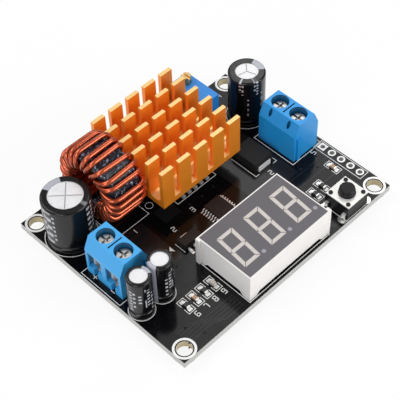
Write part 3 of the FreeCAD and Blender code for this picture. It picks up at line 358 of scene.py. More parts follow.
def core_coating():
    """Blue-black coating over the pressed ring, with pale scuffs."""
    finish = Finish("core_coating", (0.012, 0.014, 0.026), 0.32, Specular_IOR_Level=0.35)
    blotch = finish.noise(620.0, 5.0)
    scuffs = finish.span(finish.noise(1500.0, 6.0, 0.8), 0.56, 0.61)
    ground = finish.blend(blotch, (0.001, 0.002, 0.004), (0.012, 0.014, 0.026))
    finish.color(finish.blend(scuffs, ground, (0.4, 0.46, 0.62)))
    return finish.bump(finish.noise(1100.0, 5.0), 0.14 * MM, 0.6).material


def enamelled_copper():
    """Copper wire under amber enamel, in patches of darker and lighter tone."""
    finish = Finish("enamelled_copper", (0.5, 0.1, 0.05), 0.2, 0.75, Coat_Weight=0.2, Coat_Roughness=0.1)
    tone = finish.noise(300.0, 2.0)
    finish.color(finish.blend(tone, (0.46, 0.07, 0.028), (0.66, 0.14, 0.056)))
    finish.rough(finish.noise(900.0, 2.0), 0.18, 0.3)
    return finish.bump(finish.noise(700.0, 2.0), 0.012 * MM, 0.12).material


def sleeve(name, centre, stripe, rows, step=0.0):
    """Glossy black shrink film: a pale stripe down one side, and rows of short printed bars.

    The stripe is (angle, half width); a row is (angle, half width, low, high, bar spacing) in radians
    and millimetres above the board. With a step, two cans stand that far apart and mirror each other.
    """
    finish = Finish(name, SLEEVE_BLACK, 0.2, Specular_IOR_Level=0.4)
    angle = angle_round(finish, centre, step)
    worn = finish.span(finish.noise(1500.0, 4.0), 0.3, 0.5, 0.6, 1.0)
    ink = finish.product(printed_bars(finish, angle, rows), worn)
    film = finish.blend(ink, SLEEVE_BLACK, (0.48, 0.49, 0.52))
    finish.color(finish.blend(sector(finish, angle, *stripe), film, (0.42, 0.43, 0.48)))
    finish.rough(finish.noise(800.0), 0.14, 0.28)
    ripple = finish.noise(300.0, 2.0, vector=finish.stretched(1.0, 1.0, 0.35))
    return finish.bump(ripple, 0.06 * MM, 0.45).material


def angle_round(finish, centre, step):
    """The angle about a can's upright axis, or about the nearer of two mirrored cans."""
    x, y = finish.axes()[:2]
    across = finish.calc("SUBTRACT", x, centre.x)
    if step:
        across = finish.calc("SUBTRACT", step / 2, finish.size(across))
    return finish.calc("ARCTAN2", finish.calc("SUBTRACT", y, centre.y), across)


def sector(finish, angle, middle, half):
    """One within half a width of the middle angle."""
    offset = finish.calc("WRAP", finish.calc("SUBTRACT", angle, middle), math.pi, -math.pi)
    return finish.band(offset, -half, half, 0.012)


def printed_bars(finish, angle, rows):
    """One on the short bars of every printed row."""
    z = finish.axes()[2]
    ink = 0.0
    for middle, half, low, high, spacing in rows:
        height = finish.band(z, DECK + low * MM, DECK + high * MM, 0.05 * MM)
        share = finish.calc("FRACT", finish.calc("DIVIDE", z, spacing * MM))
        bars = finish.band(share, 0.24, 0.7, 0.06)
        ink = finish.largest(ink, finish.product(sector(finish, angle, middle, half), height, bars))
    return ink


def can_metal(name, top):
    """Deep-drawn aluminium: pale, with faint marks of the press and painted shade in the scored lines of its
    top.
    """
    finish = Finish(name, (0.9, 0.9, 0.91), 0.38, 0.4)
    marks = finish.noise(900.0, 5.0)
    bright = finish.blend(marks, (0.7, 0.7, 0.72), (0.88, 0.88, 0.89))
    # Painted shade: all below the top face, the scored lines too, is darkened.
    groove_shade = finish.span(finish.axes()[2], top - 0.1 * MM, top - 0.01 * MM, 1.0, 0.0)
    finish.color(finish.blend(groove_shade, bright, (0.42, 0.41, 0.42)))
    finish.rough(marks, 0.3, 0.5)
    return finish.bump(finish.noise(1700.0, 3.0), 0.02 * MM, 0.5).material


def display_white():
    """The display's white case, with its printed grey face cut away round each bar."""
    finish = Finish("display_white", (0.86, 0.86, 0.85), 0.42)
    x, y, z = finish.axes()
    face = finish.product(finish.above(z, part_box("display_shell")[1].z - 0.02 * MM),
                          finish.band(x, FACE_LOW.x - FACE_MARGIN, FACE_HIGH.x + FACE_MARGIN, 0.03 * MM),
                          finish.band(y, FACE_LOW.y - FACE_MARGIN, FACE_HIGH.y + FACE_MARGIN, 0.03 * MM),
                          finish.above(finish.normal()[2], 0.5))
    grain = finish.noise(2600.0, 3.0)
    grey = finish.blend(grain, (0.085, 0.079, 0.09), (0.12, 0.112, 0.126))
    white = finish.blend(finish.noise(300.0), (0.8, 0.775, 0.755), (0.88, 0.86, 0.845))
    finish.color(finish.blend(face, white, grey))
    finish.rough(grain, 0.34, 0.5)
    return finish.bump(grain, 0.01 * MM, 0.5).material


def segment_epoxy():
    """Milky diffusing epoxy in the bars, greyer in the points."""
    finish = Finish("segment_epoxy", (0.6, 0.56, 0.53), 0.38, Subsurface_Weight=0.15)
    finish.shader.inputs["Subsurface Radius"].default_value = (0.6 * MM, 0.5 * MM, 0.4 * MM)
    x, y = finish.axes()[:2]
    points = 0.0
    for low, high in islands("display_segments"):
        if high.x - low.x < POINT_LIMIT and high.y - low.y < POINT_LIMIT:
            spot = finish.product(finish.band(x, low.x, high.x, 0.02 * MM),
                                  finish.band(y, low.y, high.y, 0.02 * MM))
            points = finish.largest(points, spot)
    cloud = finish.noise(1300.0, 4.0)
    bars = finish.blend(cloud, (0.5, 0.46, 0.43), (0.66, 0.62, 0.59))
    finish.color(finish.blend(points, bars, (0.3, 0.3, 0.35)))
    return finish.bump(cloud, 0.02 * MM, 0.4).material


def lens_epoxy():
    """The lamp's clear lens, warm from the chip under it."""
    finish = Finish("lens_epoxy", (0.85, 0.8, 0.72), 0.2, Transmission_Weight=0.35)
    finish.color(finish.blend(finish.noise(2600.0), (0.8, 0.72, 0.62), (0.92, 0.88, 0.8)))
    return finish.bump(finish.noise(1800.0), 0.02 * MM, 0.4).material


def turned_brass():
    """Brass with the rings that the lathe leaves."""
    finish = Finish("turned_brass", (0.72, 0.5, 0.22), 0.3, 1.0)
    rings = finish.noise(2600.0, 2.0, vector=finish.stretched(0.3, 0.3, 4.0))
    finish.color(finish.blend(finish.noise(900.0, 4.0), (0.5, 0.33, 0.13), (0.82, 0.6, 0.3)))
    finish.rough(rings, 0.22, 0.4)
    return finish.bump(rings, 0.015 * MM, 0.5).material


def chip_ceramic():
    """Black film resistors and tan ceramic capacitors, told apart by their place along the board."""
    finish = Finish("chip_ceramic", (0.05, 0.045, 0.04), 0.4)
    x = finish.axes()[0]
    spans = [finish.band(x, (middle - 0.6) * MM, (middle + 0.6) * MM, 0.02 * MM) for middle in TAN_PARTS]
    tan = finish.largest(*spans)
    grain = finish.noise(4200.0, 3.0)
    dark = finish.blend(grain, (0.02, 0.02, 0.022), (0.05, 0.05, 0.052))
    pale = finish.blend(grain, (0.4, 0.24, 0.15), (0.56, 0.36, 0.24))
    finish.color(finish.blend(tan, dark, pale))
    return finish.bump(grain, 0.012 * MM, 0.5).material


def studio_floor():
    """A pale floor that the camera sees as white, with the object's shadow kept."""
    finish = Finish("studio_floor", (0.88, 0.88, 0.88), 0.9, Specular_IOR_Level=0.1)
    grain = finish.noise(60.0, 3.0)
    finish.color(finish.blend(grain, (0.87, 0.87, 0.87), (0.9, 0.9, 0.9)))
    glow = finish.add("Emission", {"Color": (1.0, 1.0, 1.0, 1.0), "Strength": 1.0})
    ray = finish.add("LightPath")
    seen = finish.largest(*(ray.outputs[f"Is {kind} Ray"] for kind in ("Camera", "Glossy", "Transmission")))
    share = finish.product(seen, FLOOR_GLOW)
    mix = finish.add("MixShader", {0: share, 1: finish.shader.outputs[0], 2: glow.outputs[0]})
    output = next(node for node in finish.tree.nodes if node.type == "OUTPUT_MATERIAL")
    finish.tree.links.new(mix.outputs[0], output.inputs["Surface"])
    return finish.material


# Measures and shades of the finishes

FACE_LOW, FACE_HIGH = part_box("display_inner_board")
FACE_MARGIN = 0.55 * MM
POINT_LIMIT = 1.2 * MM
RIM_DEPTH = 0.05 * MM
SLEEVE_BLACK = (0.004, 0.004, 0.005)

# A terminal's slit, screw wells, wire mouths and probe slots, where shade is painted: half widths, depths
# from the housing's top or face, and heights above the board.
TERMINAL_ROUGHNESS = 0.36
SLIT_HALF = 0.16 * MM
SLIT_DEEP = 0.7 * MM
WELL_PLAY = 0.15 * MM
MOUTH_HALF = 1.95 * MM
MOUTH_LOW = 2.1 * MM
MOUTH_HIGH = 6.4 * MM
MOUTH_DEEP = 6.6 * MM
PROBE_HALF = 0.6 * MM
PROBE_DEEP = 4.5 * MM


# Places on the board: metres, or plain millimetres in the tables

MOUNT = frame["record"]["mounts"][0]
MOUNT_X = MOUNT["dims"]["spacing_x_mm"] / 2 * MM
MOUNT_Y = MOUNT["dims"]["spacing_y_mm"] / 2 * MM
MOUNT_RADIUS = MOUNT["dims"]["hole_r_mm"] * MM
MOUNT_RING = 1.86 * MM
MOUNT_LAND = 2.34 * MM
HOLE_LIP = 0.03 * MM

HEADER_X = 28.0 * MM
HEADER_FIRST = -6.6 * MM
HEADER_PITCH = 2.54 * MM
HEADER_COUNT = 5
HEADER_BORE = 0.5 * MM
HEADER_LAND = 0.87 * MM
HEADER_RIM = 0.06 * MM

PRINT_WIDE = 0.15 * MM
PRINT_THICK = 0.03 * MM
PLUS = (-27.9, 2.7)
MINUS = (-27.9, -2.3)
SIGN_HALF = 0.55
ARROW = (-13.6, -3.1)
ARROW_HALF = 0.8
CAN_PRINT_GAP = 0.65 * MM
SMALL_CAN_PRINT_GAP = 0.35 * MM
OUTLINE_BOXES = (
    (-11.4, -22.85, 11.4, -8.45), (26.62, -18.0, 29.15, -5.25), (-18.6, 6.7, -9.9, 22.9),
    (-29.1, -5.6, -19.9, 5.5), (19.9, -5.5, 28.6, 5.6), (11.9, 13.0, 17.8, 23.2), (16.2, -23.2, 23.0, -16.8),
)
OPEN_LINES = (
    ((-4.1, 9.0), (-4.1, 4.2), (6.9, 4.2), (6.9, 9.0)),
    ((12.2, 4.9), (12.2, -2.2), (13.2, -2.2)),
    ((18.4, 4.9), (18.4, -2.2), (17.4, -2.2)),
    ((-11.6, -2.7), (-11.6, -5.6)),
)
SMALL_CIRCLES = ((-8.4, 8.2, 0.8), (-5.4, -7.5, 0.22))
SMALL_PARTS = (
    (-20.4, -14.7), (-18.0, -14.7), (-15.6, -14.7), (-13.2, -14.7),
    (19.7, -13.7), (17.1, -14.1), (25.1, -11.9),
)
TAN_PARTS = (SMALL_PARTS[1][0], SMALL_PARTS[6][0])
PRINTED_NUMBERS = (
    (3, -3.0, 1.1), (2, -9.2, 0.2), (1, -15.2, 5.3), (5, 25.4, -6.2), (2, 15.2, -3.6), (1, 14.6, -11.6),
    (4, 14.6, -13.4), (6, -20.1, -17.5), (7, -17.7, -17.5), (8, -15.3, -17.5), (9, -12.9, -17.5),
    (4, 23.4, 19.6),
)
# The strokes of each digit, lettered as in a seven-bar display.
DIGIT_STROKES = {
    1: "bc", 2: "abged", 3: "abgcd", 4: "fgbc", 5: "afgcd", 6: "afgecd", 7: "abc", 8: "abcdefg", 9: "abcdfg",
}
PACKAGE_PITCH = 1.5

TRACK_THICK = 0.04 * MM
TRACK_SINK = 0.01 * MM
# Runs of parallel tracks: their number and width, then points of (x, y, x step, y step) from track to track.
TRACK_RUNS = (
    (6, 0.35, (-4.0, -6.9, 1.3, -0.25), (-4.0, -7.8, 1.3, -0.25),
     (-2.0, -9.8, 1.3, -0.25), (-2.0, -12.0, 1.3, 0.0)),
    (5, 0.3, (-26.0, -21.0, 0.0, 0.75), (-20.0, -21.0, -0.75, 0.75),
     (-17.0, -22.2, -0.75, 0.75), (-12.4, -22.2, 0.0, 0.75)),
    (4, 0.35, (26.8, -6.6, 0.0, -2.54), (25.6, -6.6, 0.0, -2.54),
     (24.0, -8.2, 0.0, -2.54), (13.2, -8.2, 0.0, -2.54)),
)
COPPER_AREAS = (
    (-19.0, -5.9, -12.6, 5.9), (7.4, -7.6, 19.2, 8.4), (-9.2, 2.4, -4.8, 6.2), (13.2, -22.6, 15.4, -9.0),
)
VIA_BORE = 0.12 * MM
VIA_LAND = 0.3 * MM
VIA_THICK = 0.02 * MM
VIA_SPOTS = (
    (-16.9, -5.2), (-15.2, -6.8), (-6.6, -7.4), (-2.4, 2.6), (0.8, 2.2), (4.2, 2.4), (6.6, -6.4),
    (9.4, -5.2), (9.4, 3.2), (10.8, 5.4), (21.4, -8.2), (22.9, -9.6), (24.4, -19.2), (14.3, -19.8),
    (-24.0, -18.2), (-22.2, -21.4), (-14.6, -18.6), (-13.4, -12.2), (20.2, -7.4), (24.9, -7.2),
)


def middle_of(node):
    low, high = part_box(node)
    return (low + high) / 2


# Meshes

def new_piece(name, mesh, material, body="module"):
    """An object that isn't in the CAD, on a body, with its finish."""
    piece = bpy.data.objects.new(name, mesh)
    bpy.context.scene.collection.objects.link(piece)
    piece.data.materials.append(material)
    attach(piece, body)
    return piece


def mesh_from(name, build, smooth=False):
    """A mesh filled in by a function that is given an empty bmesh."""
    mesh = bpy.data.meshes.new(name)
    draft = bmesh.new()
    build(draft)
    bmesh.ops.recalc_face_normals(draft, faces=draft.faces)
    draft.to_mesh(mesh)
    draft.free()
    if smooth:
        mesh.shade_smooth()
    return mesh


def add_prism(draft, outline, low, high):
    """A flat-sided solid over an outline of (x, y) points."""
    floor = [draft.verts.new((x, y, low)) for x, y in outline]
    roof = [draft.verts.new((x, y, high)) for x, y in outline]
    draft.faces.new(roof)
    draft.faces.new(list(reversed(floor)))
    count = len(outline)
    for here in range(count):
        after = (here + 1) % count
        draft.faces.new((floor[here], floor[after], roof[after], roof[here]))


def add_lathe(draft, profile, centre, steps=32):
    """A closed ring: (radius, height) points turned about a vertical line through centre."""
    rings = []
    for step in range(steps):
        angle = 2 * math.pi * step / steps
        x, y = math.cos(angle), math.sin(angle)
        rings.append([draft.verts.new((centre[0] + radius * x, centre[1] + radius * y, height))
                      for radius, height in profile])
    count = len(profile)
    for step in range(steps):
        here, after = rings[step], rings[(step + 1) % steps]
        for point in range(count):
            following = (point + 1) % count
            draft.faces.new((here[point], after[point], after[following], here[following]))


def add_line(draft, points, wide, low, high, closed=False):
    """A printed line of even width through (x, y) points, mitred at its corners."""
    count = len(points)
    spots = [Vector((x, y)) for x, y in points]
    sides = []
    for here in range(count):
        before = spots[here - 1] if here or closed else None
        after = spots[(here + 1) % count] if here < count - 1 or closed else None
        runs = []
        if before is not None:
            runs.append((spots[here] - before).normalized())
        if after is not None:
            runs.append((after - spots[here]).normalized())
        normals = [Vector((-run.y, run.x)) for run in runs]
        normal = sum(normals, Vector((0, 0))).normalized()
        reach = wide / 2 / max(normal.dot(normals[0]), 0.3)
        sides.append((spots[here] + normal * reach, spots[here] - normal * reach))
    last = count if closed else count - 1
    for here in range(last):
        after = (here + 1) % count
        corners = [sides[here][0], sides[here][1], sides[after][1], sides[after][0]]
        add_prism(draft, [tuple(corner) for corner in corners], low, high)


def circle_points(centre, radius, steps=48, start=0.0, sweep=2 * math.pi):
    """Points round a circle, or along an arc with both its ends."""
    count = steps if sweep >= 2 * math.pi else steps + 1
    return [(centre[0] + radius * math.cos(start + sweep * step / steps),
             centre[1] + radius * math.sin(start + sweep * step / steps)) for step in range(count)]


def in_metres(points):
    return [(x * MM, y * MM) for x, y in points]


def box_points(low_x, low_y, high_x, high_y):
    """A box's corners, from millimetres."""
    return in_metres([(low_x, low_y), (high_x, low_y), (high_x, high_y), (low_x, high_y)])


# The board's print

def chip_brackets():
    """Two facing brackets round each small part, in metres."""
    wide, near, far = 0.85, 0.4, 1.75
    lines = []
    for x, y in SMALL_PARTS:
        for side in (-1, 1):
            corners = [(-wide, near), (-wide, far), (wide, far), (wide, near)]
            lines.append(in_metres([(x + across, y + along * side) for across, along in corners]))
    return lines


def build_chip_pads(draft):
    """Bare lands that stand out past the ends of the small parts."""
    wide, near, far = 0.48, 0.7, 1.45
    for x, y in SMALL_PARTS:
        for low, high in ((-far, -near), (near, far)):
            add_prism(draft, box_points(x - wide, y + low, x + wide, y + high), DECK, DECK + HOLE_LIP)


def capacitor_circles():
    """The centre and radius of the circle printed round each capacitor."""
    circles = []
    for node in ("input_capacitor_can", "output_capacitor_can"):
        low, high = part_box(node)
        middle = middle_of(node)
        circles.append(((middle.x, middle.y), (high.x - low.x) / 2 + CAN_PRINT_GAP))
    low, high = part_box("small_capacitor_cans")
    radius = (high.y - low.y) / 2
    for x in (low.x + radius, high.x - radius):
        circles.append(((x, (low.y + high.y) / 2), radius + SMALL_CAN_PRINT_GAP))
    return circles


def sign_lines():
    """A plus, its bar in two halves, and a minus in front of the input terminal."""
    half, gap = SIGN_HALF, 0.1
    (plus_x, plus_y), (minus_x, minus_y) = PLUS, MINUS
    return [
        in_metres([(plus_x - half, plus_y), (plus_x - gap, plus_y)]),
        in_metres([(plus_x + gap, plus_y), (plus_x + half, plus_y)]),
        in_metres([(plus_x, plus_y - half), (plus_x, plus_y + half)]),
        in_metres([(minus_x, minus_y - half), (minus_x, minus_y + half)]),
    ]


def number_lines(number, x, y, tall=1.15, wide=0.68):
    """A plain digit drawn with straight strokes about its middle."""
    left, right, low, high = -wide / 2, wide / 2, -tall / 2, tall / 2
    strokes = {
        "a": ((left, high), (right, high)),
        "b": ((right, high), (right, 0.0)),
        "c": ((right, 0.0), (right, low)),
        "d": ((left, low), (right, low)),
        "e": ((left, 0.0), (left, low)),
        "f": ((left, high), (left, 0.0)),
        "g": ((left, 0.0), (right, 0.0)),
    }
    return [in_metres([(x + across, y + up) for across, up in strokes[key]]) for key in DIGIT_STROKES[number]]


def build_arrow(draft, low, high):
    """The small mark of a diode: a filled triangle against a bar."""
    (x, y), half = ARROW, ARROW_HALF
    add_prism(draft, in_metres([(x, y), (x + half, y - half), (x + half, y + half)]), low, high)
    add_line(draft, in_metres([(x - 0.2, y - half), (x - 0.2, y + half)]), PRINT_WIDE, low, high)


def build_print(draft):
    """Everything printed on the board's upper face."""
    low, high = DECK, DECK + PRINT_THICK
    for corners in OUTLINE_BOXES:
        add_line(draft, box_points(*corners), PRINT_WIDE, low, high, closed=True)
    for points in [in_metres(line) for line in OPEN_LINES] + chip_brackets():
        add_line(draft, points, PRINT_WIDE, low, high)
    for centre, radius in capacitor_circles():
        add_line(draft, circle_points(centre, radius), PRINT_WIDE, low, high, closed=True)
    for x, y, radius in SMALL_CIRCLES:
        ring = circle_points((x * MM, y * MM), radius * MM, 20)
        add_line(draft, ring, PRINT_WIDE * 0.9, low, high, closed=True)
    build_arrow(draft, low, high)
    for line in sign_lines():
        add_line(draft, line, PRINT_WIDE, low, high)
    for number, x, y in PRINTED_NUMBERS:
        for line in number_lines(number, x, y):
            add_line(draft, line, PRINT_WIDE * 1.2, low, high)


def build_package_pads(draft):
    """Bare tinned pads that run out in front of the small package's leads."""
    half, near, far = 0.32, 0.1, 1.5
    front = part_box("amplifier_body")[0].y / MM
    for step in (-1, 0, 1):
        x = middle_of("amplifier_body").x / MM + PACKAGE_PITCH * step
        corners = box_points(x - half, front - far, x + half, front - near)
        add_prism(draft, corners, DECK, DECK + HOLE_LIP)


# Copper

def on_both_faces(thick, sink=0.0):
    """The low and high level of a thin layer on the board's upper face, then on its lower face."""
    return (DECK - sink, DECK + thick), (UNDER - thick, UNDER + sink)


def build_tracks(draft):
    """Raised tracks and wider copper areas under the mask, on both faces."""
    for low, high in on_both_faces(TRACK_THICK * 0.5, TRACK_SINK):
        for count, wide, *corners in TRACK_RUNS:
            for step in range(count):
                points = [(x + x_step * step, y + y_step * step) for x, y, x_step, y_step in corners]
                add_line(draft, in_metres(points), wide * MM, low, high)
    for area in COPPER_AREAS:
        for low, high in on_both_faces(TRACK_THICK * 0.4, TRACK_SINK):
            add_prism(draft, box_points(*area), low, high)


def flat_ring(inner, outer, low, high):
    """The profile of a ring with a box section."""
    return [(inner, low), (outer, low), (outer, high), (inner, high)]


def build_vias(draft):
    """Small plated holes scattered where the tracks change face."""
    for x, y in VIA_SPOTS:
        for low, high in on_both_faces(VIA_THICK):
            add_lathe(draft, flat_ring(VIA_BORE, VIA_LAND, low, high), (x * MM, y * MM), 16)


def add_hole(draft, centre, bore, land_inner, land_outer, steps):
    """A plated hole: the wall through the board, and a flat land on each face."""
    add_lathe(draft, flat_ring(bore - HOLE_LIP, bore, UNDER, DECK), centre, steps)
    for low, high in on_both_faces(HOLE_LIP):
        add_lathe(draft, flat_ring(land_inner, land_outer, low, high), centre, steps)


def build_mount_lands(draft):
    """A plated hole in each corner, with a bright ring round it."""
    for x in (-MOUNT_X, MOUNT_X):
        for y in (-MOUNT_Y, MOUNT_Y):
            add_hole(draft, (x, y), MOUNT_RADIUS, MOUNT_RING, MOUNT_LAND, 64)


def build_header_lands(draft):
    """Five plated holes with round lands; the first one's land is filled out to a square."""
    for number in range(HEADER_COUNT):
        centre = (HEADER_X, HEADER_FIRST - HEADER_PITCH * number)
        add_hole(draft, centre, HEADER_BORE, HEADER_BORE + HEADER_RIM, HEADER_LAND, 28)
    for across, along in ((1, 1), (-1, 1), (-1, -1), (1, -1)):
        corner = (HEADER_X + HEADER_LAND * across, HEADER_FIRST + HEADER_LAND * along)
        start = math.atan2(along, across) - math.pi / 4
        arc = circle_points((HEADER_X, HEADER_FIRST), HEADER_LAND, 8, start, math.pi / 2)
        add_prism(draft, [corner] + list(reversed(arc)), DECK, DECK + HOLE_LIP)


# Wound wire and solder

COIL_MIDDLE = middle_of("inductor_core")
CORE_LOW, CORE_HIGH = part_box("inductor_core")
WIRE_RADIUS = 0.525 * MM
WIRE_GAP = 0.1 * MM
CORE_INNER = 5.0 * MM
COIL_GAP = math.radians(15.0)
WIRE_BEND = 1.8 * MM
WIRE_FOOT = 0.9 * MM
TURN_SPREAD = 1.09
TURN_LEAN = 0.04
TURN_SLACK = 0.012
# How fast the lean and the slack change from turn to turn, and the slack from corner to corner.
LEAN_WAVE = 2.4
SLACK_WAVE = 1.7
CORNER_WAVE = 2.1
SOLDER_NECK = 0.42
SOLDER_STEPS = (0.0, 0.12, 0.28, 0.48, 0.7, 0.88, 1.0)
SOLDER_CAP = 0.08 * MM
LEAD_LAND = 0.25 * MM
LEAD_LIP = 0.025 * MM


def winding_points():
    """The wire's path: a slightly uneven turn round the ring's section, again and again."""
    side = (CORE_HIGH.x - CORE_LOW.x) / 2 + WIRE_GAP + WIRE_RADIUS
    outer = (CORE_HIGH.z - CORE_LOW.z) / 2 + WIRE_GAP + WIRE_RADIUS
    inner = CORE_INNER - WIRE_GAP - WIRE_RADIUS
    turn_angle = 2 * WIRE_RADIUS * TURN_SPREAD / inner
    turns = int((2 * math.pi - COIL_GAP) / turn_angle + 0.01)
    points = []
    for turn in range(turns):
        angle = math.pi + (turn - (turns - 1) / 2) * turn_angle
        corners = [(-side, outer), (side, outer), (side, inner), (-side, inner)]
        if turn == turns - 1:
            corners = corners[:2]
        for number, (x, radius) in enumerate(corners):
            lean = TURN_LEAN * math.sin(turn * LEAN_WAVE + number)
            slack = 1.0 + TURN_SLACK * math.sin(turn * SLACK_WAVE + number * CORNER_WAVE)
            across, down = math.sin(angle + lean), -math.cos(angle + lean)
            points.append(Vector((x * slack, radius * across, radius * down)))
    foot = UNDER - COIL_MIDDLE.z - WIRE_FOOT
    points.insert(0, Vector((points[0].x, points[0].y, foot)))
    points.append(Vector((points[-1].x, points[-1].y, foot)))
    return [COIL_MIDDLE + point for point in points]


def rounded_path(points, bend, steps=5):
    """The points with each corner replaced by a short curve."""
    path = [points[0]]
    for before, here, after in zip(points, points[1:], points[2:]):
        back, ahead = before - here, after - here
        reach = min(bend, back.length * 0.45, ahead.length * 0.45)
        start, end = here + back.normalized() * reach, here + ahead.normalized() * reach
        for step in range(steps + 1):
            part = step / steps
            path.append(start * (1 - part) ** 2 + here * 2 * part * (1 - part) + end * part ** 2)
    path.append(points[-1])
    return path


def make_winding(material):
    """The inductor's wire, as one smooth round tube."""
    curve = bpy.data.curves.new("winding_wire", "CURVE")
    curve.dimensions = "3D"
    curve.bevel_depth = WIRE_RADIUS
    curve.bevel_resolution = 3
    curve.use_fill_caps = True
    path = rounded_path(winding_points(), WIRE_BEND)
    spline = curve.splines.new("POLY")
    spline.points.add(len(path) - 1)
    for point, place in zip(spline.points, path):
        point.co = (*place, 1.0)
    spline.use_smooth = True
    draft = bpy.data.objects.new("winding_draft", curve)
    mesh = bpy.data.meshes.new_from_object(draft)
    mesh.name = "winding_wire"
    mesh.materials.clear()
    mesh.shade_smooth()
    bpy.data.objects.remove(draft)
    bpy.data.curves.remove(curve)
    piece = new_piece("winding_wire", mesh, material)
    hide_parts("inductor_winding")


def solder_spots():
    """The middle, radius and lowest height of every solder joint, read from the CAD solids."""
    return [((low + high) / 2, (high.x - low.x) / 2, low.z) for low, high in islands("solder_joints")]


def build_solder(draft, spots):
    """A concave fillet up each lead from its land, under the board."""
    for middle, radius, tip in spots:
        tall = UNDER - tip
        slope = [(radius * (SOLDER_NECK + (1 - SOLDER_NECK) * (1 - part) ** 2), UNDER - tall * part)
                 for part in SOLDER_STEPS]
        profile = [(radius * 0.1, UNDER)] + slope + [(radius * 0.1, tip - SOLDER_CAP)]
        add_lathe(draft, profile, (middle.x, middle.y), 20)


def build_lands(draft, spots):
    """A thin ring of plating round each lead on both faces of the board."""
    for middle, radius, _ in spots:
        for low, high in on_both_faces(LEAD_LIP):
            ring = flat_ring(radius * 0.5, radius + LEAD_LAND, low, high)
            add_lathe(draft, ring, (middle.x, middle.y), 28)


# Studio

CAMERA_AZIMUTH = math.radians(-43.25)
CAMERA_ELEVATION = math.radians(50.6)
CAMERA_ROLL = math.radians(-2.23)
CAMERA_DISTANCE = 237.74 * MM
CAMERA_TARGET = Vector((-0.2, 1.79, 2.8)) * MM
CAMERA_LENS = 105.1
CAMERA_SENSOR = 36.0
WORLD_LIGHT = 0.32
WORLD_WHITE = 1.0
FLOOR_GLOW = 0.88
FLOOR_HALF = 1.2
# Each lamp's place, its width and height, and its power.
LAMPS = {
    "key": ((-0.25, 0.5, 0.75), (0.7, 0.5), 3.4),
    "front": ((0.35, -0.8, 0.5), (0.6, 0.5), 5.0),
    "side": ((-0.8, -0.3, 0.5), (0.5, 0.5), 3.2),
    "panel": ((0.323, 0.182, 0.486), (0.27, 0.26), 0.6),
}


def make_camera():
    """The photograph's camera, as fitted to the board's corners."""
    back = Vector((math.sin(CAMERA_AZIMUTH) * math.cos(CAMERA_ELEVATION),
                   -math.cos(CAMERA_AZIMUTH) * math.cos(CAMERA_ELEVATION), math.sin(CAMERA_ELEVATION)))
    right = Vector((0, 0, 1)).cross(back).normalized()
    above = back.cross(right)
    turned = right * math.cos(CAMERA_ROLL) + above * math.sin(CAMERA_ROLL)
    above = above * math.cos(CAMERA_ROLL) - right * math.sin(CAMERA_ROLL)
    data = bpy.data.cameras.new("camera")
    data.lens = CAMERA_LENS
    data.sensor_width = CAMERA_SENSOR
    data.sensor_fit = "HORIZONTAL"
    data.clip_start = 0.01
    camera = bpy.data.objects.new("camera", data)
    spot = CAMERA_TARGET + back * CAMERA_DISTANCE
    camera.matrix_world = Matrix.Translation(spot) @ Matrix((turned, above, back)).transposed().to_4x4()
    bpy.context.scene.collection.objects.link(camera)
    bpy.context.scene.camera = camera


def make_lamp(name, place, size, power):
    """A soft rectangular lamp that faces the object."""
    data = bpy.data.lights.new(name, "AREA")
    data.shape = "RECTANGLE"
    data.size, data.size_y = size
    data.energy = power
    lamp = bpy.data.objects.new(name, data)
    lamp.location = place
    lamp.rotation_euler = (-Vector(place)).to_track_quat("-Z", "Y").to_euler()
    bpy.context.scene.collection.objects.link(lamp)


def make_world():
    """An even pale world, white to the camera and through clear parts."""
    world = bpy.data.worlds.new("studio")
    world.use_nodes = True
    tree = world.node_tree
    background = tree.nodes["Background"]
    ray = tree.nodes.new("ShaderNodeLightPath")
    seen = tree.nodes.new("ShaderNodeMath")
    seen.operation = "MAXIMUM"
    tree.links.new(ray.outputs["Is Camera Ray"], seen.inputs[0])
    tree.links.new(ray.outputs["Is Transmission Ray"], seen.inputs[1])
    strength = tree.nodes.new("ShaderNodeMapRange")
    strength.inputs["To Min"].default_value = WORLD_LIGHT
    strength.inputs["To Max"].default_value = WORLD_WHITE
    tree.links.new(seen.outputs[0], strength.inputs["Value"])
    tree.links.new(strength.outputs["Result"], background.inputs["Strength"])
    background.inputs["Color"].default_value = (1.0, 1.0, 1.0, 1.0)
    bpy.context.scene.world = world


def build_floor(draft):
    signs = ((-1, -1), (1, -1), (1, 1), (-1, 1))
    draft.faces.new([draft.verts.new((x * FLOOR_HALF, y * FLOOR_HALF, 0.0)) for x, y in signs])


def make_floor():
    floor = bpy.data.objects.new("floor", mesh_from("floor", build_floor))
    floor.data.materials.append(studio_floor())
    bpy.context.scene.collection.objects.link(floor)


# Assembly

def dress_nodes():
    """Give every CAD node its finish; leads and other small metal parts are tinned."""
    tin = plating("tinned_metal", (0.86, 0.86, 0.85), metallic=0.6)
    pale_metal = plating("pale_metal", (0.95, 0.95, 0.94), 0.1, 0.3)
    finishes = part_finishes(pale_metal) | terminal_finishes(pale_metal) | can_finishes() | sleeve_finishes()
    for name, node in NODES.items():
        node.data.materials.clear()
        node.data.materials.append(finishes.get(name, tin))


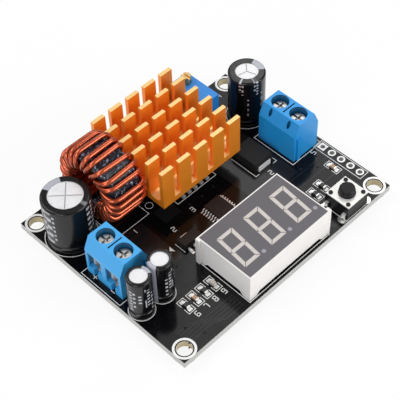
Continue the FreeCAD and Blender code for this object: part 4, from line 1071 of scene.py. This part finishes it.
def part_finishes(pale_metal):
    """The board, heatsink, coil, packages, display, button and trimmer."""
    steel = plating("plated_steel", (0.93, 0.92, 0.88), 0.1, 0.5)
    epoxy = package_epoxy("package_epoxy", (0.014, 0.0135, 0.014), 0.55)
    brown = package_epoxy("chip_epoxy", (0.018, 0.013, 0.012), 0.45)
    black = moulded("black_plastic", (0.008, 0.008, 0.009), 0.42, specular=0.25)
    white = moulded("white_plastic", (0.75, 0.74, 0.7), 0.4)
    return {
        "circuit_board": solder_mask(), "heatsink": gold_anodised(), "inductor_core": core_coating(),
        "thermal_pad": moulded("silicone_pad", (0.6, 0.6, 0.58), 0.7), "transistor_body": epoxy,
        "diode_body": epoxy, "diode_terminals": pale_metal,
        "controller_body": brown, "controller_leads": pale_metal,
        "amplifier_body": brown, "amplifier_leads": pale_metal,
        "chip_bodies": chip_ceramic(), "lamp_base": white, "lamp_lens": lens_epoxy(),
        "display_shell": display_white(), "display_segments": segment_epoxy(), "display_resin": white,
        "display_inner_board": moulded("inner_board", (0.1, 0.22, 0.1), 0.5),
        "button_base": black, "button_plunger": black, "button_cover": steel, "button_dome": steel,
        "trimmer_housing": moulded("trimmer_blue", (0.02, 0.26, 0.77), 0.34),
        "trimmer_screw": turned_brass(), "trimmer_wheel": white, "trimmer_base": white,
    }


def terminal_finishes(pale_metal):
    """Both screw terminals, the input's a little paler."""
    nickel = plating("nickel_plate", (0.58, 0.57, 0.56))
    finishes = {}
    for side, color in (("input", (0.05, 0.4, 0.84)), ("output", (0.014, 0.32, 0.78))):
        housing = f"{side}_terminal_housing"
        finishes[housing] = terminal_plastic(f"{side}_blue", color, housing, f"{side}_screw_1")
        for number in (1, 2):
            finishes[f"{side}_clamp_{number}"] = pale_metal
            finishes[f"{side}_screw_{number}"] = nickel
    return finishes


def can_finishes():
    """The capacitors' cans and the rubber seals under them."""
    rubber = moulded("seal_rubber", (0.02, 0.02, 0.02), 0.7)
    finishes = {}
    for name in NODES:
        if name.endswith(("_can", "_cans")):
            finishes[name] = can_metal(name.replace("capacitor", "metal"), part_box(name)[1].z)
        elif "capacitor_seal" in name:
            finishes[name] = rubber
    return finishes


def sleeve_finishes():
    """Each sleeve's stripe faces the can's negative lead; the printed rows face the board's front."""
    low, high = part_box("small_capacitor_cans")
    step = (high.x - low.x) - (high.y - low.y)
    return {
        "input_capacitor_sleeve": sleeve(
            "input_sleeve", middle_of("input_capacitor_can"), (1.57, 0.46),
            [(3.0, 0.07, 2.4, 12.4, 1.7), (-3.06, 0.12, 2.8, 12.0, 2.3), (-2.84, 0.05, 3.4, 11.4, 1.3),
             (-1.3, 0.1, 4.0, 12.6, 1.5), (-1.06, 0.07, 5.0, 12.8, 1.1)]),
        "output_capacitor_sleeve": sleeve(
            "output_sleeve", middle_of("output_capacitor_can"), (-0.16, 0.5),
            [(-2.75, 0.06, 10.4, 13.2, 0.9), (-2.6, 0.05, 9.6, 13.0, 1.3), (-1.95, 0.05, 10.2, 13.0, 1.1),
             (-1.8, 0.06, 9.4, 13.2, 0.8), (-1.5, 0.05, 3.6, 9.4, 1.9), (-2.3, 0.04, 3.2, 8.4, 1.5)]),
        "small_capacitor_sleeves": sleeve(
            "small_sleeves", middle_of("small_capacitor_cans"), (0.0, 0.5),
            [(-3.05, 0.13, 2.6, 8.8, 0.9), (-2.75, 0.1, 3.4, 9.2, 1.3), (-2.3, 0.12, 5.2, 7.8, 1.0),
             (-1.86, 0.05, 3.8, 9.4, 5.2), (-1.6, 0.13, 4.2, 9.0, 0.95), (-1.25, 0.1, 2.2, 7.4, 1.2)], step),
    }


def dress_board():
    """Print, tracks, lands and solder."""
    ink = print_ink()
    tin = plating("land_tin", (0.86, 0.86, 0.84))
    # The hole walls' colours are the plating's tone, darkened as painted shade.
    holes = hole_plating("mount_plating", (0.55, 0.46, 0.27))
    sockets = hole_plating("header_plating", (0.42, 0.41, 0.39))
    covered = covered_copper()
    new_piece("board_print", mesh_from("board_print", build_print), ink)
    new_piece("board_tracks", mesh_from("board_tracks", build_tracks), covered)
    new_piece("board_vias", mesh_from("board_vias", build_vias, True), covered)
    new_piece("mount_lands", mesh_from("mount_lands", build_mount_lands), holes)
    new_piece("chip_pads", mesh_from("chip_pads", build_chip_pads), holes)
    new_piece("package_pads", mesh_from("package_pads", build_package_pads), holes)
    new_piece("header_lands", mesh_from("header_lands", build_header_lands), sockets)
    spots = solder_spots()
    joints = mesh_from("solder_fillets", lambda draft: build_solder(draft, spots), True)
    piece = new_piece("solder_fillets", joints, plating("solder_metal", (0.78, 0.79, 0.8)))
    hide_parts("solder_joints")
    new_piece("lead_lands", mesh_from("lead_lands", lambda draft: build_lands(draft, spots)), tin)


dress_nodes()
dress_board()
make_winding(enamelled_copper())
make_camera()
make_world()
make_floor()
for lamp_name, (place, size, power) in LAMPS.items():
    make_lamp(lamp_name, place, size, power)
bpy.context.scene.view_settings.view_transform = "Standard"
